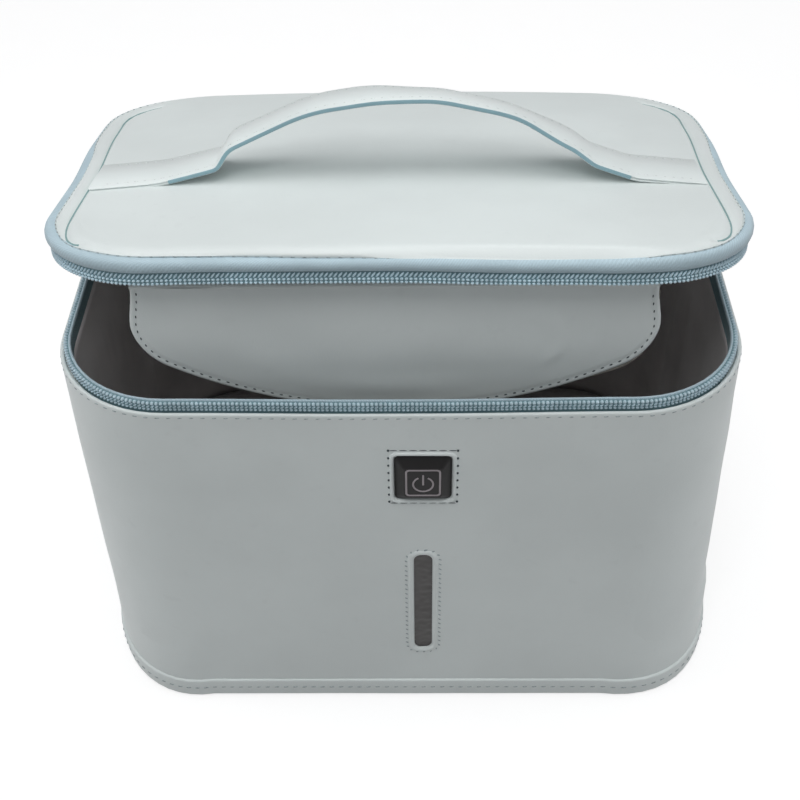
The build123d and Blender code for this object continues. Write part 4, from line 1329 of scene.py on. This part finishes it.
class BAG_OT_pocket(bpy.types.Operator):
    """Makes the battery pocket's fabric wall and the elastic over the battery"""

    bl_idname = "bag.pocket"
    bl_label = "Pocket"

    def execute(self, context):
        half_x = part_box("pocket_frame")[1].x
        front = opened().inverted() @ FLAP_AXIS
        half_y = 29.5 * MM
        low, high = front.z + 1.4 * MM, LID_UNDER
        middle = front.y - 1.1 * MM + half_y
        rows = [(0.0, high), (0.0, low + 1.0 * MM), (0.35 * MM, low + 0.3 * MM), (1.1 * MM, low),
                (1.85 * MM, low + 0.3 * MM), (2.2 * MM, low + 1.0 * MM), (2.2 * MM, high)]
        bm = bmesh.new()
        rings = []
        for inset, z in rows:
            points = outline(half_x - inset, half_y - inset, 6 * MM - inset, (0, middle))
            rings.append(ring(bm, [(x, y, z) for x, y in points]))
        loft(bm, rings, closed=True)
        piece("pocket_wall", bm, "fabric", "lid", ["pocket_frame"], crease=40)
        reach = half_y - 2.2 * MM
        frames = []
        for i in range(27):
            spot = Vector((0, middle - reach + 2 * reach * i / 26, low + (0.65 + 0.12 * (i % 2)) * MM))
            frames.append((spot, RIGHT, UP))
        bm = band(bmesh.new(), frames, ((-11, -0.3), (-11, 0.3), (11, 0.3), (11, -0.3)))
        piece("pocket_elastic", bm, "elastic", "lid", ["battery_strap"], crease=50)
        return {"FINISHED"}


# Stage


class BAG_OT_stage(bpy.types.Operator):
    """Sets the floor, the lamps, the world and the camera"""

    bl_idname = "bag.stage"
    bl_label = "Stage"

    def execute(self, context):
        scene = context.scene
        scene.view_settings.view_transform = "Standard"
        bm = bmesh.new()
        bmesh.ops.create_grid(bm, x_segments=8, y_segments=8, size=6)
        floor = put("floor", bm)
        paper = Finish("Paper floor", roughness=0.9, specular_ior_level=0.1, emission_strength=1.0)
        paper.feed("Base Color", paper.mix(paper.cloud(30), (0.41, 0.41, 0.41, 1), (0.43, 0.43, 0.43, 1)))
        seen = paper.node("LightPath", output="Is Camera Ray") + paper.node("LightPath", output="Is Glossy Ray")
        away = paper.node("VectorMath", {"operation": "LENGTH"}, {0: paper.place()}, output="Value")
        bright = paper.mix(away.ramp(0.6, 2.4), (0.7, 0.7, 0.7, 1), (1, 1, 1, 1))
        paper.feed("Emission Color", paper.mix(seen.ramp(0, 1), (0, 0, 0, 1), bright))
        floor.data.materials.append(paper.material)

        world = bpy.data.worlds.new("Studio")
        scene.world = world
        world.use_nodes = True
        tree = world.node_tree
        tree.nodes.clear()
        out, path, pick = (tree.nodes.new("ShaderNode" + kind) for kind in ("OutputWorld", "LightPath", "MixShader"))
        tree.links.new(path.outputs["Is Camera Ray"], pick.inputs[0])
        for socket, colour, strength in ((1, (0.95, 0.97, 1.0, 1), 0.26), (2, (1, 1, 1, 1), 1.0)):
            sky = tree.nodes.new("ShaderNodeBackground")
            sky.inputs["Color"].default_value = colour
            sky.inputs["Strength"].default_value = strength
            tree.links.new(sky.outputs[0], pick.inputs[socket])
        tree.links.new(pick.outputs[0], out.inputs["Surface"])

        for name, place, target, size, power in (
            ("top softbox", (-0.05, 0.05, 1.25), (0.0, 0.0, 0.12), 1.1, 7.6),
            ("high front", (-0.08, -0.52, 1.0), (0.0, -0.05, 0.17), 0.28, 1.9),
            ("right fill", (1.2, -0.15, 0.6), (0.0, 0.0, 0.1), 0.8, 2.3),
            ("left fill", (-1.2, -0.15, 0.6), (0.0, 0.0, 0.1), 0.8, 2.3),
        ):
            light = bpy.data.lights.new(name, "AREA")
            light.shape = "SQUARE"
            light.size = size
            light.energy = power
            lamp = bpy.data.objects.new(name, light)
            scene.collection.objects.link(lamp)
            lamp.location = place
            lamp.rotation_euler = (Vector(place) - Vector(target)).to_track_quat("Z", "Y").to_euler()

        data = bpy.data.cameras.new("camera")
        data.sensor_width = 36
        focal_length, picture = 1292.6, 800
        data.lens = focal_length * data.sensor_width / picture
        camera = bpy.data.objects.new("camera", data)
        scene.collection.objects.link(camera)
        stand = Matrix.Translation(Vector((7.2, -455.0, 503.75)) * MM)
        for degrees, axis in ((1.09, "Z"), (90 - 42.54, "X"), (-0.98, "Z")):
            stand @= Matrix.Rotation(math.radians(degrees), 4, axis)
        camera.matrix_world = stand
        scene.camera = camera
        return {"FINISHED"}


class BAG_PT_sidebar(bpy.types.Panel):
    """Lists the bag's settings and steps"""

    bl_label = "Steriliser bag"
    bl_idname = "BAG_PT_sidebar"
    bl_space_type = "VIEW_3D"
    bl_region_type = "UI"
    bl_category = "Bag"

    def draw(self, context):
        for group in (context.scene.bag_sizes, context.scene.bag_colours):
            for name in group.__annotations__:
                self.layout.prop(group, name)
        for step in STEPS:
            self.layout.operator(step.bl_idname)


STEPS = (
    BAG_OT_finishes, BAG_OT_body_skin, BAG_OT_openings, BAG_OT_base, BAG_OT_lining, BAG_OT_wall_sewing,
    BAG_OT_button, BAG_OT_body_zip, BAG_OT_lid_zip, BAG_OT_lid_pad, BAG_OT_handle, BAG_OT_gusset, BAG_OT_flap,
    BAG_OT_pocket, BAG_OT_stage,
)
CLASSES = (BagSizes, BagColours, *STEPS, BAG_PT_sidebar)


def register():
    for kind in CLASSES:
        bpy.utils.register_class(kind)
    bpy.types.Scene.bag_sizes = bpy.props.PointerProperty(type=BagSizes)
    bpy.types.Scene.bag_colours = bpy.props.PointerProperty(type=BagColours)


def unregister():
    del bpy.types.Scene.bag_colours
    del bpy.types.Scene.bag_sizes
    for kind in reversed(CLASSES):
        bpy.utils.unregister_class(kind)


def main():
    register()
    for step in STEPS:
        category, name = step.bl_idname.split(".")
        getattr(getattr(bpy.ops, category), name)()


if __name__ == "__main__":
    main()
